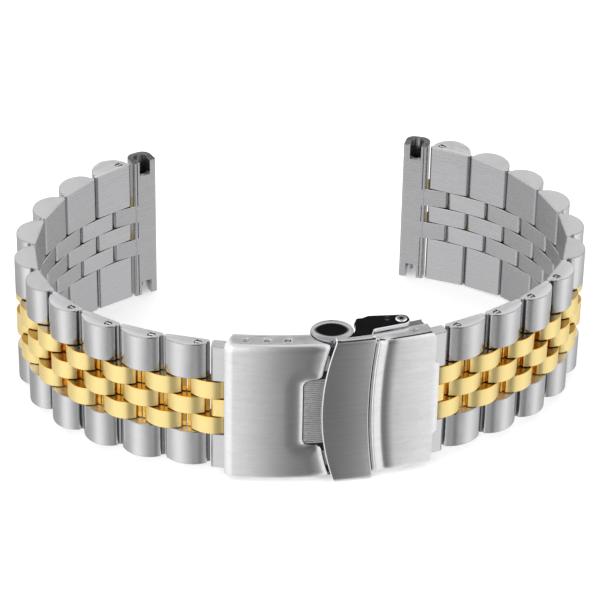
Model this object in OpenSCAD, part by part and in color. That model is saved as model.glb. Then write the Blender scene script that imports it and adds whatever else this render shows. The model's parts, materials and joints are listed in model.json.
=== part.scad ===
// Two-tone metal watch bracelet with a folding clasp, standing on its edge as a loop
// that is open at the back. X runs along the clasp, Y from the clasp to the open ends,
// and Z across the width. The bracelet stands on Z = 0.

/* [Bracelet] */
// Distance between the watch's lugs, which the end bars fill
lug_width = 22; // [20:0.5:24]
// Side play of an end bar between the lugs, at each end
lug_play = 0.1; // [0.05:0.05:0.2]
// Width of the links beside the clasp
narrow_width = 18; // [17:0.25:18.25]
// Row after which the links widen towards the watch
taper_row = 7; // [5:1:9]
// Largest turn between two rows, at the side of the loop
bend_peak = 17.5; // [12:0.1:19]
// Row at which the loop turns most
bend_row = 6.5; // [6:0.1:7]
// How quickly the turn fades from row to row, in degrees
bend_fade = 13.6; // [13.4:0.1:15]
// Turn between the clasp's end and the first row
first_bend = 5.5; // [4:0.1:8]

/* [Links] */
// Distance from one row of links to the next
pitch = 6.2; // [6:0.05:6.6]
// Gap between two rows at their widest
row_gap = 0.3; // [0.25:0.05:0.5]
// Thickness of a link beside the clasp, at the top of its dome
clasp_link_t = 2; // [2:0.05:2.4]
// Thickness of a link beside the watch
link_t = 3.2; // [2.8:0.1:3.4]
// Row from which the links have that thickness
full_row = 8; // [6:1:9]
// Height of the flat sides of a link above its inner face
side_h = 1.1; // [0.95:0.05:1.2]
// Radius of the two edges of a link's inner face
inner_r = 0.45; // [0.3:0.05:0.6]
// Width of a centre link and of the links beside it
centre_w = 2.65; // [2.4:0.05:2.8]
// Gap between two columns of links
column_gap = 0.08; // [0.05:0.01:0.12]
// Height of the pins above the inner face
pin_h = 0.95; // [0.9:0.05:1]
// Radius of a link pin
pin_r = 0.45; // [0.4:0.01:0.48]
// Depth of a pin's end below the side of the link
pin_inset = 0.35; // [0.2:0.05:0.5]
// Wall left over a pin that doesn't show
blind_wall = 0.9; // [0.6:0.1:1.2]

/* [End bars] */
// Radius of the watch's spring bar hole
bar_bore_r = 0.9; // [0.75:0.05:1]
// Wall of the rolled tube round that hole
bar_wall = 0.55; // [0.4:0.05:0.6]
// Distance from the last link pin to the spring bar hole
bar_reach = 3.6; // [3.5:0.1:4]
// Width of the flat inner plate of an end bar
bar_plate_w = 3.5; // [3.3:0.1:3.6]
// Thickness of that plate
bar_plate_t = 0.55; // [0.4:0.05:0.6]
// Width of the notch at each end of the plate
notch_w = 1.6; // [1.4:0.1:1.8]
// Length of that notch
notch_l = 2.2; // [1.8:0.1:2.6]

/* [Clasp] */
// Radius of the clasp's curve along the wrist
clasp_r = 60; // [50:1:80]
// Thickness of the clasp's sheets
sheet_t = 0.55; // [0.5:0.05:0.6]
// Distance of the first links' pins from the clasp's centre
seat_x = 11.2; // [11.1:0.05:11.3]
// Depth of those pins below the clasp's face
seat_depth = 1.65; // [1.6:0.05:1.7]
// Radius of those pins
seat_r = 0.5; // [0.45:0.01:0.52]
// Radius of those pins' ends, in the clasp's walls
seat_tip_r = 0.4; // [0.35:0.01:0.42]
// Play between the links and the hood's side walls
hood_play = 0.25; // [0.2:0.05:0.3]
// Left end of the hood
hood_left = 13.4; // [13.2:0.1:13.6]
// Depth of the hood's side walls
hood_depth = 3; // [2.6:0.1:3.1]
// Thickness of the hood's side walls
hood_wall = 0.7; // [0.6:0.05:0.75]
// Slant of the hood's left end
hood_slant = 21; // [14:1:24]
// Distance between the adjusting holes in the hood
adjust_step = 2.7; // [2.4:0.1:2.8]
// Gap between the hood's edge and the latch
bow_gap = 0.35; // [0.25:0.05:0.5]
// Length of the bevel along that edge
bevel_l = 0.9; // [0.5:0.1:1.2]
// Left side of the thumb recess, from the clasp's centre
recess_l = 3.5; // [3.3:0.1:3.8]
// Height of the thumb recess
recess_h = 10; // [9.6:0.1:10.4]
// Distance between the ribs in the recess
rib_step = 0.23; // [0.2:0.01:0.5]
// Height of those ribs
rib_h = 0.1; // [0.06:0.01:0.15]
// Play between the links and the cover's side walls
cover_play = 0.15; // [0.1:0.05:0.2]
// Right end of the cover's corners
cover_right = 13; // [12.8:0.1:13.2]
// How far the middle of the cover reaches past its corners
tongue_l = 0.9; // [0.4:0.1:1]
// Height of that middle
tongue_h = 10.8; // [10:0.1:12]
// Depth of the cover's side walls
cover_depth = 2.6; // [2.2:0.1:2.7]
// Depth of the cover's face below the hood's
cover_drop = 0.15; // [0.1:0.05:0.15]
// Radius of the bead along the cover's left edge
bead_r = 0.72; // [0.6:0.02:0.74]
// Distance of the bead from the clasp's centre
bead_x = 6.35; // [6.3:0.05:6.5]

/* [Safety latch] */
// Play between the cover's side walls and the latch's arms
latch_play = 0.15; // [0.1:0.05:0.35]
// Left edge of the latch at mid width, from the clasp's centre
latch_left = 0.3; // [0.25:0.05:0.4]
// Length of the latch along the wrist
latch_l = 4.9; // [4.8:0.05:4.95]
// How far the latch's edges bow to the left
latch_bow = 0.9; // [0.7:0.1:0.9]
// How far the latch stands above the hood
latch_rise = 0.15; // [0.1:0.05:0.25]
// Place of the latch's pivot along the clasp
pivot_x = 8.2; // [8.1:0.05:8.3]
// Depth of the latch's pivot below the clasp's face
pivot_depth = 4.3; // [4.25:0.05:4.4]
// Radius of the latch's arm round its pivot
arm_r = 1.25; // [1.1:0.05:1.3]
// Radius of the latch's pivot pin
latch_pin_r = 0.6; // [0.5:0.05:0.7]

/* [Fold] */
// Width of the outer blade
outer_blade_w = 7.8; // [7:0.1:8]
// Width of the inner blade
inner_blade_w = 11; // [10.6:0.1:11.4]
// Thickness of the blades
blade_t = 0.75; // [0.7:0.05:0.8]
// Depth of the outer blade below the clasp's face
outer_depth = 3.25; // [3.2:0.05:3.3]
// Depth of the wrist side of the clasp
wrist_depth = 5.2; // [5.15:0.05:5.3]
// Radius of a blade's knuckle
knuckle_r = 0.85; // [0.8:0.05:0.9]
// Width of the outer blade's knuckles
knuckle_w = 5.8; // [5:0.1:6]
// Radius of the fold pins
fold_pin_r = 0.45; // [0.4:0.05:0.5]
// Place of the fold pin under the hood, left of the clasp's centre
near_x = 2.3; // [2.2:0.1:2.5]
// Depth of that pin
near_depth = 2.6; // [2.55:0.05:2.7]
// Place of the fold pin at the left end
far_x = 12.3; // [12.1:0.1:12.5]

/* [Push buttons] */
// Radius of a push button
button_r = 2.4; // [2.2:0.05:2.45]
// Place of the buttons left of the clasp's centre
button_x = 1.15; // [1:0.05:1.3]
// Depth of the buttons' centre below the clasp's face
button_depth = 3.1; // [3.05:0.05:3.2]
// How far the buttons stand out of the hood's sides
button_rise = 0.4; // [0.3:0.05:0.5]
// Travel of a button
button_travel = 0.6; // [0.4:0.05:0.65]
// Radius of a button's stem
stem_r = 0.85; // [0.7:0.05:0.9]
// Turns of a button's spring
spring_turns = 4.5; // [3.5:0.5:5]
// Radius of a button spring's wire
wire_r = 0.16; // [0.12:0.01:0.18]

/* [Fits] */
// Clearance of a pin that turns
run_gap = 0.05; // [0.03:0.01:0.07]
// Clearance of a pin that is pressed in
press_gap = 0.01; // [0.01:0.005:0.02]
// Gap between pieces that slide past each other
slip_gap = 0.1; // [0.08:0.01:0.14]

/* [Hidden] */
$fn = 64;
arc_fn = 720;
rows = 11;
steel = "silver";
gold = "gold";
dark_steel = "dimgray";
far = 40;

bar_half = lug_width / 2 - lug_play;
mid_z = bar_half;
pin_u = pitch / 4;
link_l = pitch - row_gap;
column_2 = centre_w / 2 + column_gap;
column_1 = column_2 + centre_w + column_gap;
// The first link goes in under the cover's sheet
end_top = seat_depth - cover_drop - sheet_t - slip_gap;
first_reach = pin_u + 1.3;

function direction(angle) = [cos(angle), sin(angle)];
function slope_at(x) = asin(x / clasp_r);
// A point at a depth below the clasp's face, on the normal at x, with the face at y = 0
function arc_local(x, depth) =
    [0, clasp_r] + (clasp_r - depth) * [sin(slope_at(x)), -cos(slope_at(x))];
function bend(row) = bend_peak * cos(bend_fade * (row - bend_row));
function tilt(row) = row == 1 ? slope_at(seat_x) + first_bend : tilt(row - 1) + bend(row - 1);
function mid_tilt(row) = tilt(row) + bend(row) / 2;
function row_local(row) = row == 1
    ? arc_local(seat_x, seat_depth) + pin_u * direction(tilt(1))
    : row_local(row - 1) + pin_u * direction(tilt(row - 1))
        + 2 * pin_u * direction(mid_tilt(row - 1)) + pin_u * direction(tilt(row));

bar_r = bar_bore_r + bar_wall;
bar_v = pin_h - bar_r;
bar_tilt = tilt(rows) + bend(rows);
bar_local = row_local(rows) + pin_u * direction(tilt(rows));
tube_y = bar_local[1] + bar_reach * sin(bar_tilt) + bar_v * cos(bar_tilt);
// The loop is centred between the latch's face and the end bars' tubes
face_y = -(tube_y + bar_r - latch_rise) / 2;
place = [0, face_y];

function arc_point(x, depth) = place + arc_local(x, depth);
function row_at(row) = place + row_local(row);
function mid_at(row) = row_at(row) + pin_u * (direction(tilt(row)) + direction(mid_tilt(row)));
bar_at = place + bar_local;
function thickness(spot) = clasp_link_t
    + (link_t - clasp_link_t) * min(1, max(0, (spot - 2) / (full_row - 2)));
function half_width(spot) = narrow_width / 2
    + (bar_half - narrow_width / 2) * min(1, max(0, (spot - taper_row) / (rows - taper_row)));

// The pins on the clasp's side of rows 2 to 5, and the last pin of all, can be driven out
function is_removable(row, end) = (end < 0 && row > 1 && row < 6) || (end > 0 && row == rows);
function pin_top(row, end) =
    half_width(row + end * pin_u / pitch) - (is_removable(row, end) ? pin_inset : blind_wall);
function pin_bottom(row, end) = pin_inset - half_width(row + end * pin_u / pitch);

near_fold = arc_point(-near_x, near_depth);
far_fold = arc_point(-far_x, wrist_depth - blade_t / 2 - knuckle_r + 0.2);
pivot = arc_point(pivot_x, pivot_depth);
button_at = arc_point(-button_x, button_depth);
hood_w = narrow_width + 2 * (hood_wall + hood_play);
cover_w = narrow_width + 2 * (sheet_t + cover_play);
latch_w = cover_w + 2 * (sheet_t + latch_play);
bow_r = (latch_w * latch_w / 4 + latch_bow * latch_bow) / (2 * latch_bow);
latch_right = latch_left + latch_l;
latch_in = latch_w / 2 - sheet_t;
cover_in = cover_w / 2 - sheet_t;
cheek_w = 0.7;
pad_top = sheet_t + 0.15;
pad_t = 0.7;
button_top = hood_w / 2 + button_rise;
block_top = hood_w / 2 - hood_wall - 0.75;
block_z = block_top - 2.3;
block_half = 2.05;
well_r = stem_r + 0.85;
well_bottom = block_top - 1.1;
cap_bottom = block_top + button_travel + slip_gap;
cap_roof = button_top - 0.45;
stem_in = block_z - 0.9;

sides = ["left", "right"];
function chain_nodes(side) = concat(
    [for (i = [1:rows]) str(side, "_row_", i)],
    [for (i = [1:rows - 1]) str(side, "_joiner_", i)],
    [str(side, "_end_bar")]);

// Extrudes an outline between two heights, counted from the middle of the width
module between(z0, z1) translate([0, 0, mid_z + z0]) linear_extrude(z1 - z0) children();

module mirrored() translate([0, 0, 2 * mid_z]) mirror([0, 0, 1]) children();

module both_sides() {
    children();
    mirrored() children();
}

module rod(at, r, z0, z1) translate([at[0], at[1], mid_z + z0]) cylinder(r = r, h = z1 - z0);

module rounded_rect(x0, x1, y0, y1, r) {
    translate([x0 + r, y0]) square([x1 - x0 - 2 * r, y1 - y0]);
    translate([x0, y0 + r]) square([x1 - x0, y1 - y0 - 2 * r]);
    for (x = [x0 + r, x1 - r], y = [y0 + r, y1 - r]) translate([x, y]) circle(r);
}

// Cross-section of a link: a flat inner face, short sides and a dome. Y points to the wrist
module link_outline(spot) {
    rise = thickness(spot) - side_h;
    dome_r = (link_l * link_l / 4 + rise * rise) / (2 * rise);
    intersection() {
        rounded_rect(-link_l / 2, link_l / 2, -2 * link_t, pin_h, inner_r);
        translate([0, dome_r + pin_h - thickness(spot)]) circle(dome_r, $fn = 2 * $fn);
    }
}

// Cross-section of the thin first link, rounded at the clasp's pin
module first_outline() intersection() {
    rounded_rect(-pin_u - end_top, first_reach, -end_top, pin_h, inner_r);
    union() {
        translate([-pin_u, 0]) circle(end_top);
        translate([-pin_u, -link_t]) square([link_l, 2 * link_t]);
        translate([-link_l, 0]) square([link_l, link_t]);
    }
}

module row_outline(row) {
    if (row == 1) first_outline();
    else link_outline(row);
}

module on_chain(at, angle) translate([at[0], at[1], 0]) rotate(angle) children();

module on_side(side) {
    if (side == "left") mirror([1, 0, 0]) children();
    else children();
}

// The links' ends follow the taper from row to row
module taper_trim(row) {
    reach = link_l / pitch / 2;
    translate([0, far / 2, mid_z]) rotate([90, 0, 0]) linear_extrude(far)
        polygon([[-link_l / 2, 0], [link_l / 2, 0], [link_l / 2, half_width(row + reach)],
            [0, half_width(row)], [-link_l / 2, half_width(row - reach)]]);
}

// Holes for the pins of a row. The first row turns on the clasp's own pin at its near end
module row_holes(row) for (end = [-1, 1]) {
    at_clasp = row == 1 && end < 0;
    rod([end * pin_u, 0], at_clasp ? seat_r + run_gap : pin_r + press_gap,
        -far, at_clasp || is_removable(row, end) ? far : pin_top(row, end));
}

module steel_links(row) color(steel) difference() {
    both_sides() intersection() {
        between(column_1, far) row_outline(row);
        taper_trim(row);
    }
    row_holes(row);
}

module centre_link(row) color(gold) difference() {
    between(-centre_w / 2, centre_w / 2) row_outline(row);
    row_holes(row);
}

module row_pins(row) color(dark_steel) for (end = row == 1 ? [1] : [-1, 1])
    rod([end * pin_u, 0], pin_r, pin_bottom(row, end), pin_top(row, end));

module chain_row(side, row) on_side(side) on_chain(row_at(row), tilt(row)) {
    steel_links(row);
    centre_link(row);
    row_pins(row);
}

// Two links that join a row to the next one. The first pair is cut low beside the clasp's sheet
module joiner(side, row) on_side(side) on_chain(mid_at(row), mid_tilt(row)) color(gold)
    difference() {
        both_sides() between(column_2, column_2 + centre_w) difference() {
            link_outline(row + 0.5);
            if (row == 1) translate([-link_l, -2 * link_t])
                square([link_l - pin_u + pin_r / 2, 2 * link_t - pin_r - 0.4]);
        }
        for (end = [-1, 1]) rod([end * pin_u, 0], pin_r + run_gap, -far, far);
    }

// Sheet rolled into a tube for the watch's spring bar, with two fingers round the last link pin
module end_bar(side) on_side(side) on_chain(bar_at, bar_tilt) color(steel) difference() {
    union() {
        between(-bar_half, bar_half) {
            translate([bar_reach, bar_v]) circle(bar_r);
            translate([bar_reach - bar_plate_w / 2, pin_h - bar_plate_t])
                square([bar_plate_w, bar_plate_t]);
        }
        both_sides() between(column_2, column_2 + centre_w) intersection() {
            translate([pin_u, 0]) link_outline(rows);
            translate([-link_l, -link_t]) square([link_l + bar_reach, 2 * link_t]);
        }
    }
    rod([bar_reach, bar_v], bar_bore_r, -far, far);
    rod([0, 0], pin_r + run_gap, -far, far);
    both_sides() translate([bar_reach - notch_w / 2, bar_v + bar_bore_r / 2, mid_z + bar_half - notch_l])
        cube([notch_w, link_t, far]);
}

// A sheet that follows the clasp's curve, with side walls bent back along both edges
module channel(x0, x1, width, depth, wall, face) {
    top = clasp_r - face;
    translate([0, face_y + clasp_r, mid_z]) rotate(slope_at(x0) - 90)
        rotate_extrude(angle = slope_at(x1) - slope_at(x0), $fn = arc_fn) difference() {
            intersection() {
                rounded_rect(clasp_r / 2, top, -width / 2, width / 2, wall - 0.05);
                translate([clasp_r - depth, -width]) square([far, 2 * width]);
            }
            translate([0, wall - width / 2]) square([top - sheet_t, width - 2 * wall]);
        }
}

// Outline of a strip between two depths below the clasp's face
module strip(x0, x1, d0, d1) intersection() {
    translate([0, face_y + clasp_r]) difference() {
        circle(clasp_r - d0, $fn = arc_fn);
        circle(clasp_r - d1, $fn = arc_fn);
    }
    translate([x0, face_y - 1]) square([x1 - x0, clasp_r / 2]);
}

// Outline seen from the front, cut through along Y
module from_front() translate([0, face_y + far / 2, mid_z]) rotate([90, 0, 0])
    linear_extrude(2 * far, center = true) children();

// Everything to the right of the latch's bowed edge, moved along X
module right_of_bow(shift) translate([latch_left + shift + bow_r, 0]) circle(bow_r, $fn = arc_fn);

// Depth from the clasp's front plane, not along its curve
module at_front(z0, z1) translate([0, face_y]) between(z0, z1) children();

module hood() color(steel) difference() {
    channel(-hood_left, 2, hood_w, hood_depth, hood_wall, 0);
    from_front() right_of_bow(-bow_gap);
    // bevel along the bowed edge
    translate([latch_left - bow_gap + bow_r, face_y - 0.1, mid_z]) rotate([-90, 0, 0])
        cylinder(r1 = bow_r + bevel_l, r2 = bow_r, h = sheet_t, $fn = arc_fn);
    // thumb recess
    from_front() rounded_rect(-recess_l, far, -recess_h / 2, recess_h / 2, 0.9);
    // slanted ends of the side walls
    translate([arc_point(-hood_left, 0)[0], arc_point(-hood_left, 0)[1], -1]) rotate(-hood_slant)
        translate([-far, -far / 2]) cube([far, far, far]);
    for (i = [0:2])
        rod(arc_point(i * adjust_step - seat_x, seat_depth), seat_tip_r + press_gap, -far, far);
    both_sides() rod(button_at, button_r + slip_gap, hood_w / 2 - hood_wall - 0.1, far);
}

// Ribbed pad in the hood's recess, with lugs for the near fold pin
module thumb_pad() color(steel) {
    ribs = floor(recess_h / rib_step / 2) - 1;
    edge = (ribs + 0.5) * rib_step;
    difference() {
        union() {
            // ribs across the pad
            translate([-recess_l, face_y, mid_z]) rotate([90, 0, 90])
                linear_extrude(recess_l + latch_left - bow_gap) polygon(concat(
                    [[pad_top + pad_t, -edge]],
                    [for (i = [-ribs:ribs]) each [[pad_top + rib_h, (i - 0.5) * rib_step],
                        [pad_top, i * rib_step]]],
                    [[pad_top + rib_h, edge], [pad_top + pad_t, edge]]));
            // flange under the hood's sheet
            between(-recess_h / 2 - 0.6, recess_h / 2 + 0.6)
                strip(-recess_l - 1.4, -recess_l, sheet_t, pad_top + pad_t);
            both_sides() between(knuckle_w / 2 + slip_gap, knuckle_w / 2 + slip_gap + 1.6) {
                translate(near_fold) circle(knuckle_r);
                translate([near_fold[0] - knuckle_r, face_y + pad_top + rib_h])
                    square([2 * knuckle_r, near_fold[1] - face_y - pad_top - rib_h]);
            }
        }
        rod(near_fold, fold_pin_r + press_gap, -far, far);
    }
}

// Blocks under the hood that guide the two push buttons
module button_housing() color(steel) both_sides() difference() {
    between(block_z, block_top) {
        translate(button_at) circle(block_half + 0.05);
        intersection() {
            strip(-button_x - block_half, -0.4, sheet_t, button_depth);
            translate(button_at - [block_half, 2 * block_half])
                square([2 * block_half, 2 * block_half]);
        }
    }
    rod(button_at, stem_r + run_gap, 0, far);
    rod(button_at, well_r, well_bottom, far);
}

module blade_outline(x0, x1) strip(x0, x1, outer_depth, outer_depth + blade_t);

module outer_blade() color(steel) difference() {
    union() {
        between(-outer_blade_w / 2, outer_blade_w / 2)
            blade_outline(far_fold[0] + knuckle_r + 0.15, -near_x - 2 * knuckle_r + 0.3);
        between(-knuckle_w / 2, knuckle_w / 2) {
            blade_outline(far_fold[0], near_fold[0]);
            translate(near_fold) circle(knuckle_r);
            translate(far_fold) circle(knuckle_r);
        }
    }
    for (at = [near_fold, far_fold]) rod(at, fold_pin_r + run_gap, -far, far);
}

// Long blade on the wrist's side, with the cheeks that carry the cover and the latch
module inner_blade() color(steel) difference() {
    union() {
        between(-inner_blade_w / 2, inner_blade_w / 2)
            strip(far_fold[0], cover_right - 0.5, wrist_depth - blade_t, wrist_depth);
        between(-cover_in, cover_in) {
            strip(bead_x - bead_r, cover_right - 0.5, wrist_depth - blade_t, wrist_depth);
            translate(pivot) circle(latch_pin_r + 0.5);
        }
        both_sides() {
            between(knuckle_w / 2 + slip_gap, inner_blade_w / 2) translate(far_fold) circle(knuckle_r);
            between(cover_in - cheek_w, cover_in) {
                strip(bead_x - bead_r, seat_x - 1.7, cover_depth - 0.9, wrist_depth);
                strip(bead_x - bead_r, cover_right - 0.5, wrist_depth - 1.7, wrist_depth);
                translate(arc_point(cover_right - 0.3, wrist_depth - 0.85)) circle(0.85);
            }
            between(cover_in - cheek_w, latch_in - 0.05) translate(pivot) circle(arm_r);
            // ledges beside the buttons' stems
            between(inner_blade_w / 2 - 0.5, inner_blade_w / 2)
                strip(-button_x - 1.4, 1.4 - button_x, wrist_depth - blade_t - 0.1, wrist_depth);
        }
    }
    // room for the outer blade's knuckle
    between(-knuckle_w / 2 - slip_gap, knuckle_w / 2 + slip_gap)
        translate([-far, face_y]) square([far + far_fold[0] + knuckle_r + 0.15, far / 2]);
    rod(far_fold, fold_pin_r + press_gap, -far, far);
    rod(pivot, latch_pin_r + press_gap, -far, far);
}

// Cover over the right end, with a bead along its left edge and a tongue over the links
module end_cover() color(steel) difference() {
    union() {
        intersection() {
            channel(bead_x + 1.35, cover_right + 2, cover_w, cover_depth, sheet_t, cover_drop);
            from_front() {
                translate([0, -tongue_h / 2]) square([cover_right + tongue_l, tongue_h]);
                polygon([[0, -cover_w], [cover_right - 0.5, -cover_w], [cover_right, 0.6 - cover_w / 2],
                    [cover_right, cover_w / 2 - 0.6], [cover_right - 0.5, cover_w], [0, cover_w]]);
            }
        }
        between(-cover_w / 2, cover_w / 2) translate(arc_point(bead_x, bead_r)) circle(bead_r);
        // groove between the bead and the face, and its side walls
        between(-cover_w / 2 + 0.15, cover_w / 2 - 0.15)
            strip(bead_x, bead_x + 1.6, cover_drop + 0.35, cover_drop + 0.9);
        both_sides() between(cover_in + 0.04, cover_w / 2 - 0.04)
            strip(bead_x - 0.6 * bead_r, bead_x + 2, bead_r, cover_depth - 0.05);
    }
    rod(arc_point(seat_x, seat_depth), seat_tip_r + press_gap, -far, far);
}

// Curved band across the clasp, on two arms that turn on the latch pin
module safety_latch() color(steel) difference() {
    union() {
        intersection() {
            channel(latch_left - 1, latch_right + 2, latch_w, 2, sheet_t, -latch_rise);
            from_front() difference() {
                right_of_bow(0);
                right_of_bow(latch_l);
            }
        }
        both_sides() between(latch_in, latch_w / 2) difference() {
            union() {
                polygon([for (p = [[-6.8, 1.2 - pivot_depth], [-6.8, -2.9], [-5.8, -1.6], [-3.9, -0.5],
                    [-3.5, 0.5], [-2.6, 0.95], [0, arm_r], [0, -arm_r], [-1.75, -2.1],
                    [-1.75, 1.2 - pivot_depth]]) pivot + p]);
                translate(pivot) circle(arm_r);
            }
            translate(button_at) circle(button_r + 2 * slip_gap);
        }
    }
    // thin right edge, so that the latch passes over the cover's bead
    at_front(-latch_in, latch_in) polygon([[latch_right - 0.4, 0.6], [latch_right + 0.5, 0.36],
        [latch_right + latch_bow + 0.1, 0.34], [latch_right + latch_bow + 0.1, 3],
        [latch_right - 0.4, 3]]);
    rod(pivot, latch_pin_r + run_gap, -far, far);
}

// Pin of the first row, with thinner ends in the clasp's walls
module seat_pin(x, half) color(dark_steel) {
    at = arc_point(x, seat_depth);
    rod(at, seat_r, -narrow_width / 2, narrow_width / 2);
    rod(at, seat_tip_r, -half, half);
}

module push_button() color(steel) {
    difference() {
        rod(button_at, button_r, cap_bottom, button_top);
        rod(button_at, well_r, 0, cap_roof);
    }
    rod(button_at, stem_r, stem_in, cap_roof);
    rod(button_at, stem_r + 0.35, stem_in, stem_in + 0.5);
}

// One unbroken coil between the well's bottom and the cap's roof
module button_spring() color(dark_steel) {
    coil_r = (stem_r + well_r) / 2;
    steps = 24 * spring_turns;
    ring = 8;
    z0 = well_bottom + wire_r;
    rise = cap_roof - wire_r - z0;
    points = [for (i = [0:steps], j = [0:ring - 1])
        let (a = 360 * spring_turns * i / steps, b = 360 * j / ring, r = coil_r + wire_r * cos(b))
        [r * cos(a), r * sin(a), z0 + rise * i / steps + wire_r * sin(b)]];
    translate([button_at[0], button_at[1], mid_z]) polyhedron(points, concat(
        [[for (j = [0:ring - 1]) j]],
        [for (i = [0:steps - 1], j = [0:ring - 1])
            let (k = (j + 1) % ring) each [[i * ring + j, (i + 1) * ring + j, i * ring + k],
                [i * ring + k, (i + 1) * ring + j, (i + 1) * ring + k]]],
        [[for (j = [ring - 1:-1:0]) steps * ring + j]]));
}

for (side = sides) {
    for (i = [1:rows]) chain_row(side, i);
    for (i = [1:rows - 1]) joiner(side, i);
    end_bar(side);
}
hood();
thumb_pad();
button_housing();
outer_blade();
inner_blade();
end_cover();
safety_latch();
color(dark_steel) rod(pivot, latch_pin_r, -latch_w / 2, latch_w / 2);  // latch_pin
color(dark_steel) rod(near_fold, fold_pin_r, -knuckle_w / 2 - 1.6, knuckle_w / 2 + 1.6);  // near_fold_pin
color(dark_steel) rod(far_fold, fold_pin_r, -inner_blade_w / 2, inner_blade_w / 2);  // far_fold_pin
seat_pin(-seat_x, hood_w / 2 - 0.15);  // spring_bar
seat_pin(seat_x, cover_w / 2 - 0.05);  // end_pin
push_button();  // push_button_top
mirrored() push_button();  // push_button_bottom
button_spring();  // button_spring_top
mirrored() button_spring();  // button_spring_bottom
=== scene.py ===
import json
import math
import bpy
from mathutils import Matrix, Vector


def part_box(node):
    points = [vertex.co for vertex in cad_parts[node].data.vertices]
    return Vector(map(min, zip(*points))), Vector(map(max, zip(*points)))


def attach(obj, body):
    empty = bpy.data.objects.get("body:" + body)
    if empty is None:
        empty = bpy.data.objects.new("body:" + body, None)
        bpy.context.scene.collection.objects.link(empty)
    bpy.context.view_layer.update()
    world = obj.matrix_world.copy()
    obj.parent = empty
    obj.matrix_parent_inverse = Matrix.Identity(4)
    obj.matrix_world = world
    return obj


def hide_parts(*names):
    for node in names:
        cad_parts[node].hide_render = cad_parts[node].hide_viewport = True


bl_info = {
    "name": "Metal Watch Bracelet",
    "version": (1, 0, 0),
    "blender": (4, 5, 0),
    "location": "3D View > Sidebar > Bracelet",
    "description": "Builds a two-tone metal watch bracelet with a folding clasp",
    "category": "Add Mesh",
}

import bmesh
import bpy
from bpy.props import FloatProperty, FloatVectorProperty, IntProperty, PointerProperty
from mathutils import Matrix, Vector
from mathutils.geometry import tessellate_polygon

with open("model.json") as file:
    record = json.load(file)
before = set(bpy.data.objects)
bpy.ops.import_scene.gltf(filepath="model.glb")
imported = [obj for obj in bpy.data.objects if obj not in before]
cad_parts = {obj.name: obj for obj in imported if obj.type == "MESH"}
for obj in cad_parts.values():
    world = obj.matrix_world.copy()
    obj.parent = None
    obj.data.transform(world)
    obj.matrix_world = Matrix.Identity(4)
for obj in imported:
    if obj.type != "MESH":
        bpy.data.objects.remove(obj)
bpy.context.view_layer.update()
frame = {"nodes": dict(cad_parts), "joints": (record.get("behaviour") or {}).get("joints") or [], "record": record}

MM = 0.001
FAR_OFF = 30 * MM   # end of a cutter, well outside every piece
BEVEL_STEPS = 3     # steps of a rounded edge
JOINTS = {j["name"]: Vector(j["pos_m"]) for j in frame["joints"] if "pos_m" in j}
MOUNTS = {m["name"]: Vector(m["pos_m"]) for m in frame["record"]["mounts"]}
ROWS = 11
REMOVABLE_ROWS = range(2, 6)    # rows whose pin on the clasp's side can be driven out
MID_Z = JOINTS["latch_turn"].z
LATCH_RISE = 0.15 * MM          # height of the latch above the hood's face
FACE_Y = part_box("safety_latch")[0].y + LATCH_RISE


def length(name, description, mm):
    """A size in millimetres, kept in metres"""
    return FloatProperty(name=name, description=description, default=mm * MM, unit="LENGTH", precision=5)


def swatch(name, description, value):
    """A colour that a user may change"""
    return FloatVectorProperty(name=name, description=description, subtype="COLOR", default=value,
                               min=0, max=1)


class LinkSizes(bpy.types.PropertyGroup):
    pitch: length("Pitch", "Distance from one row of links to the next", 6.2)
    gap: length("Row gap", "Gap between two rows at their inner faces", 0.18)
    steel_gap: length("Steel gap", "Gap between the domes of two steel links", 0.75)
    gold_gap: length("Gold gap", "Gap between the domes of two gold links", 1.15)
    thin: length("Thickness at the clasp", "Thickness of a link beside the clasp", 2.0)
    thick: length("Thickness at the watch", "Thickness of a link beside the watch", 3.2)
    thick_row: IntProperty(name="Full row", default=8,
                           description="Row from which links are full thickness")
    side: length("Side height", "Height of the flat sides of a link", 1.1)
    inner: length("Inner edge", "Radius of the edges of a link's inner face", 0.45)
    pin_height: length("Pin height", "Height of the pins above the inner face", 0.95)
    pin: length("Pin radius", "Radius of a link pin", 0.45)
    pin_depth: length("Pin inset", "Depth of a pin's lower end below the side of the link", 0.35)
    pin_shown: length("Shown pin inset", "Depth of a pin's upper end in an open hole", 0.07)
    centre: length("Centre width", "Width of a centre link and of its neighbours", 2.65)
    column_gap: length("Column gap", "Gap between two columns of links", 0.08)
    narrow: length("Narrow width", "Width of the rows beside the clasp", 18.7)
    wide: length("Wide width", "Width of the end bars", 21.8)
    taper_row: IntProperty(name="Taper row", default=7, description="Row after which the links widen")
    bevel: length("Bevel", "Polished bevel round the ends of a link", 0.11)
    end_top: length("End link height", "Height of the first link above its pin", 0.85)


class BarSizes(bpy.types.PropertyGroup):
    reach: length("Reach", "Distance from the last link pin to the spring bar hole", 3.6)
    bore: length("Bore radius", "Radius of the spring bar hole", 0.9)
    wall: length("Wall", "Wall of the folded sheet", 0.55)
    plate: length("Plate width", "Width of the flat inner plate", 3.5)
    notch: length("Notch width", "Width of the notch at each end", 1.6)
    notch_depth: length("Notch length", "Length of the notch at each end", 2.2)


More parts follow.
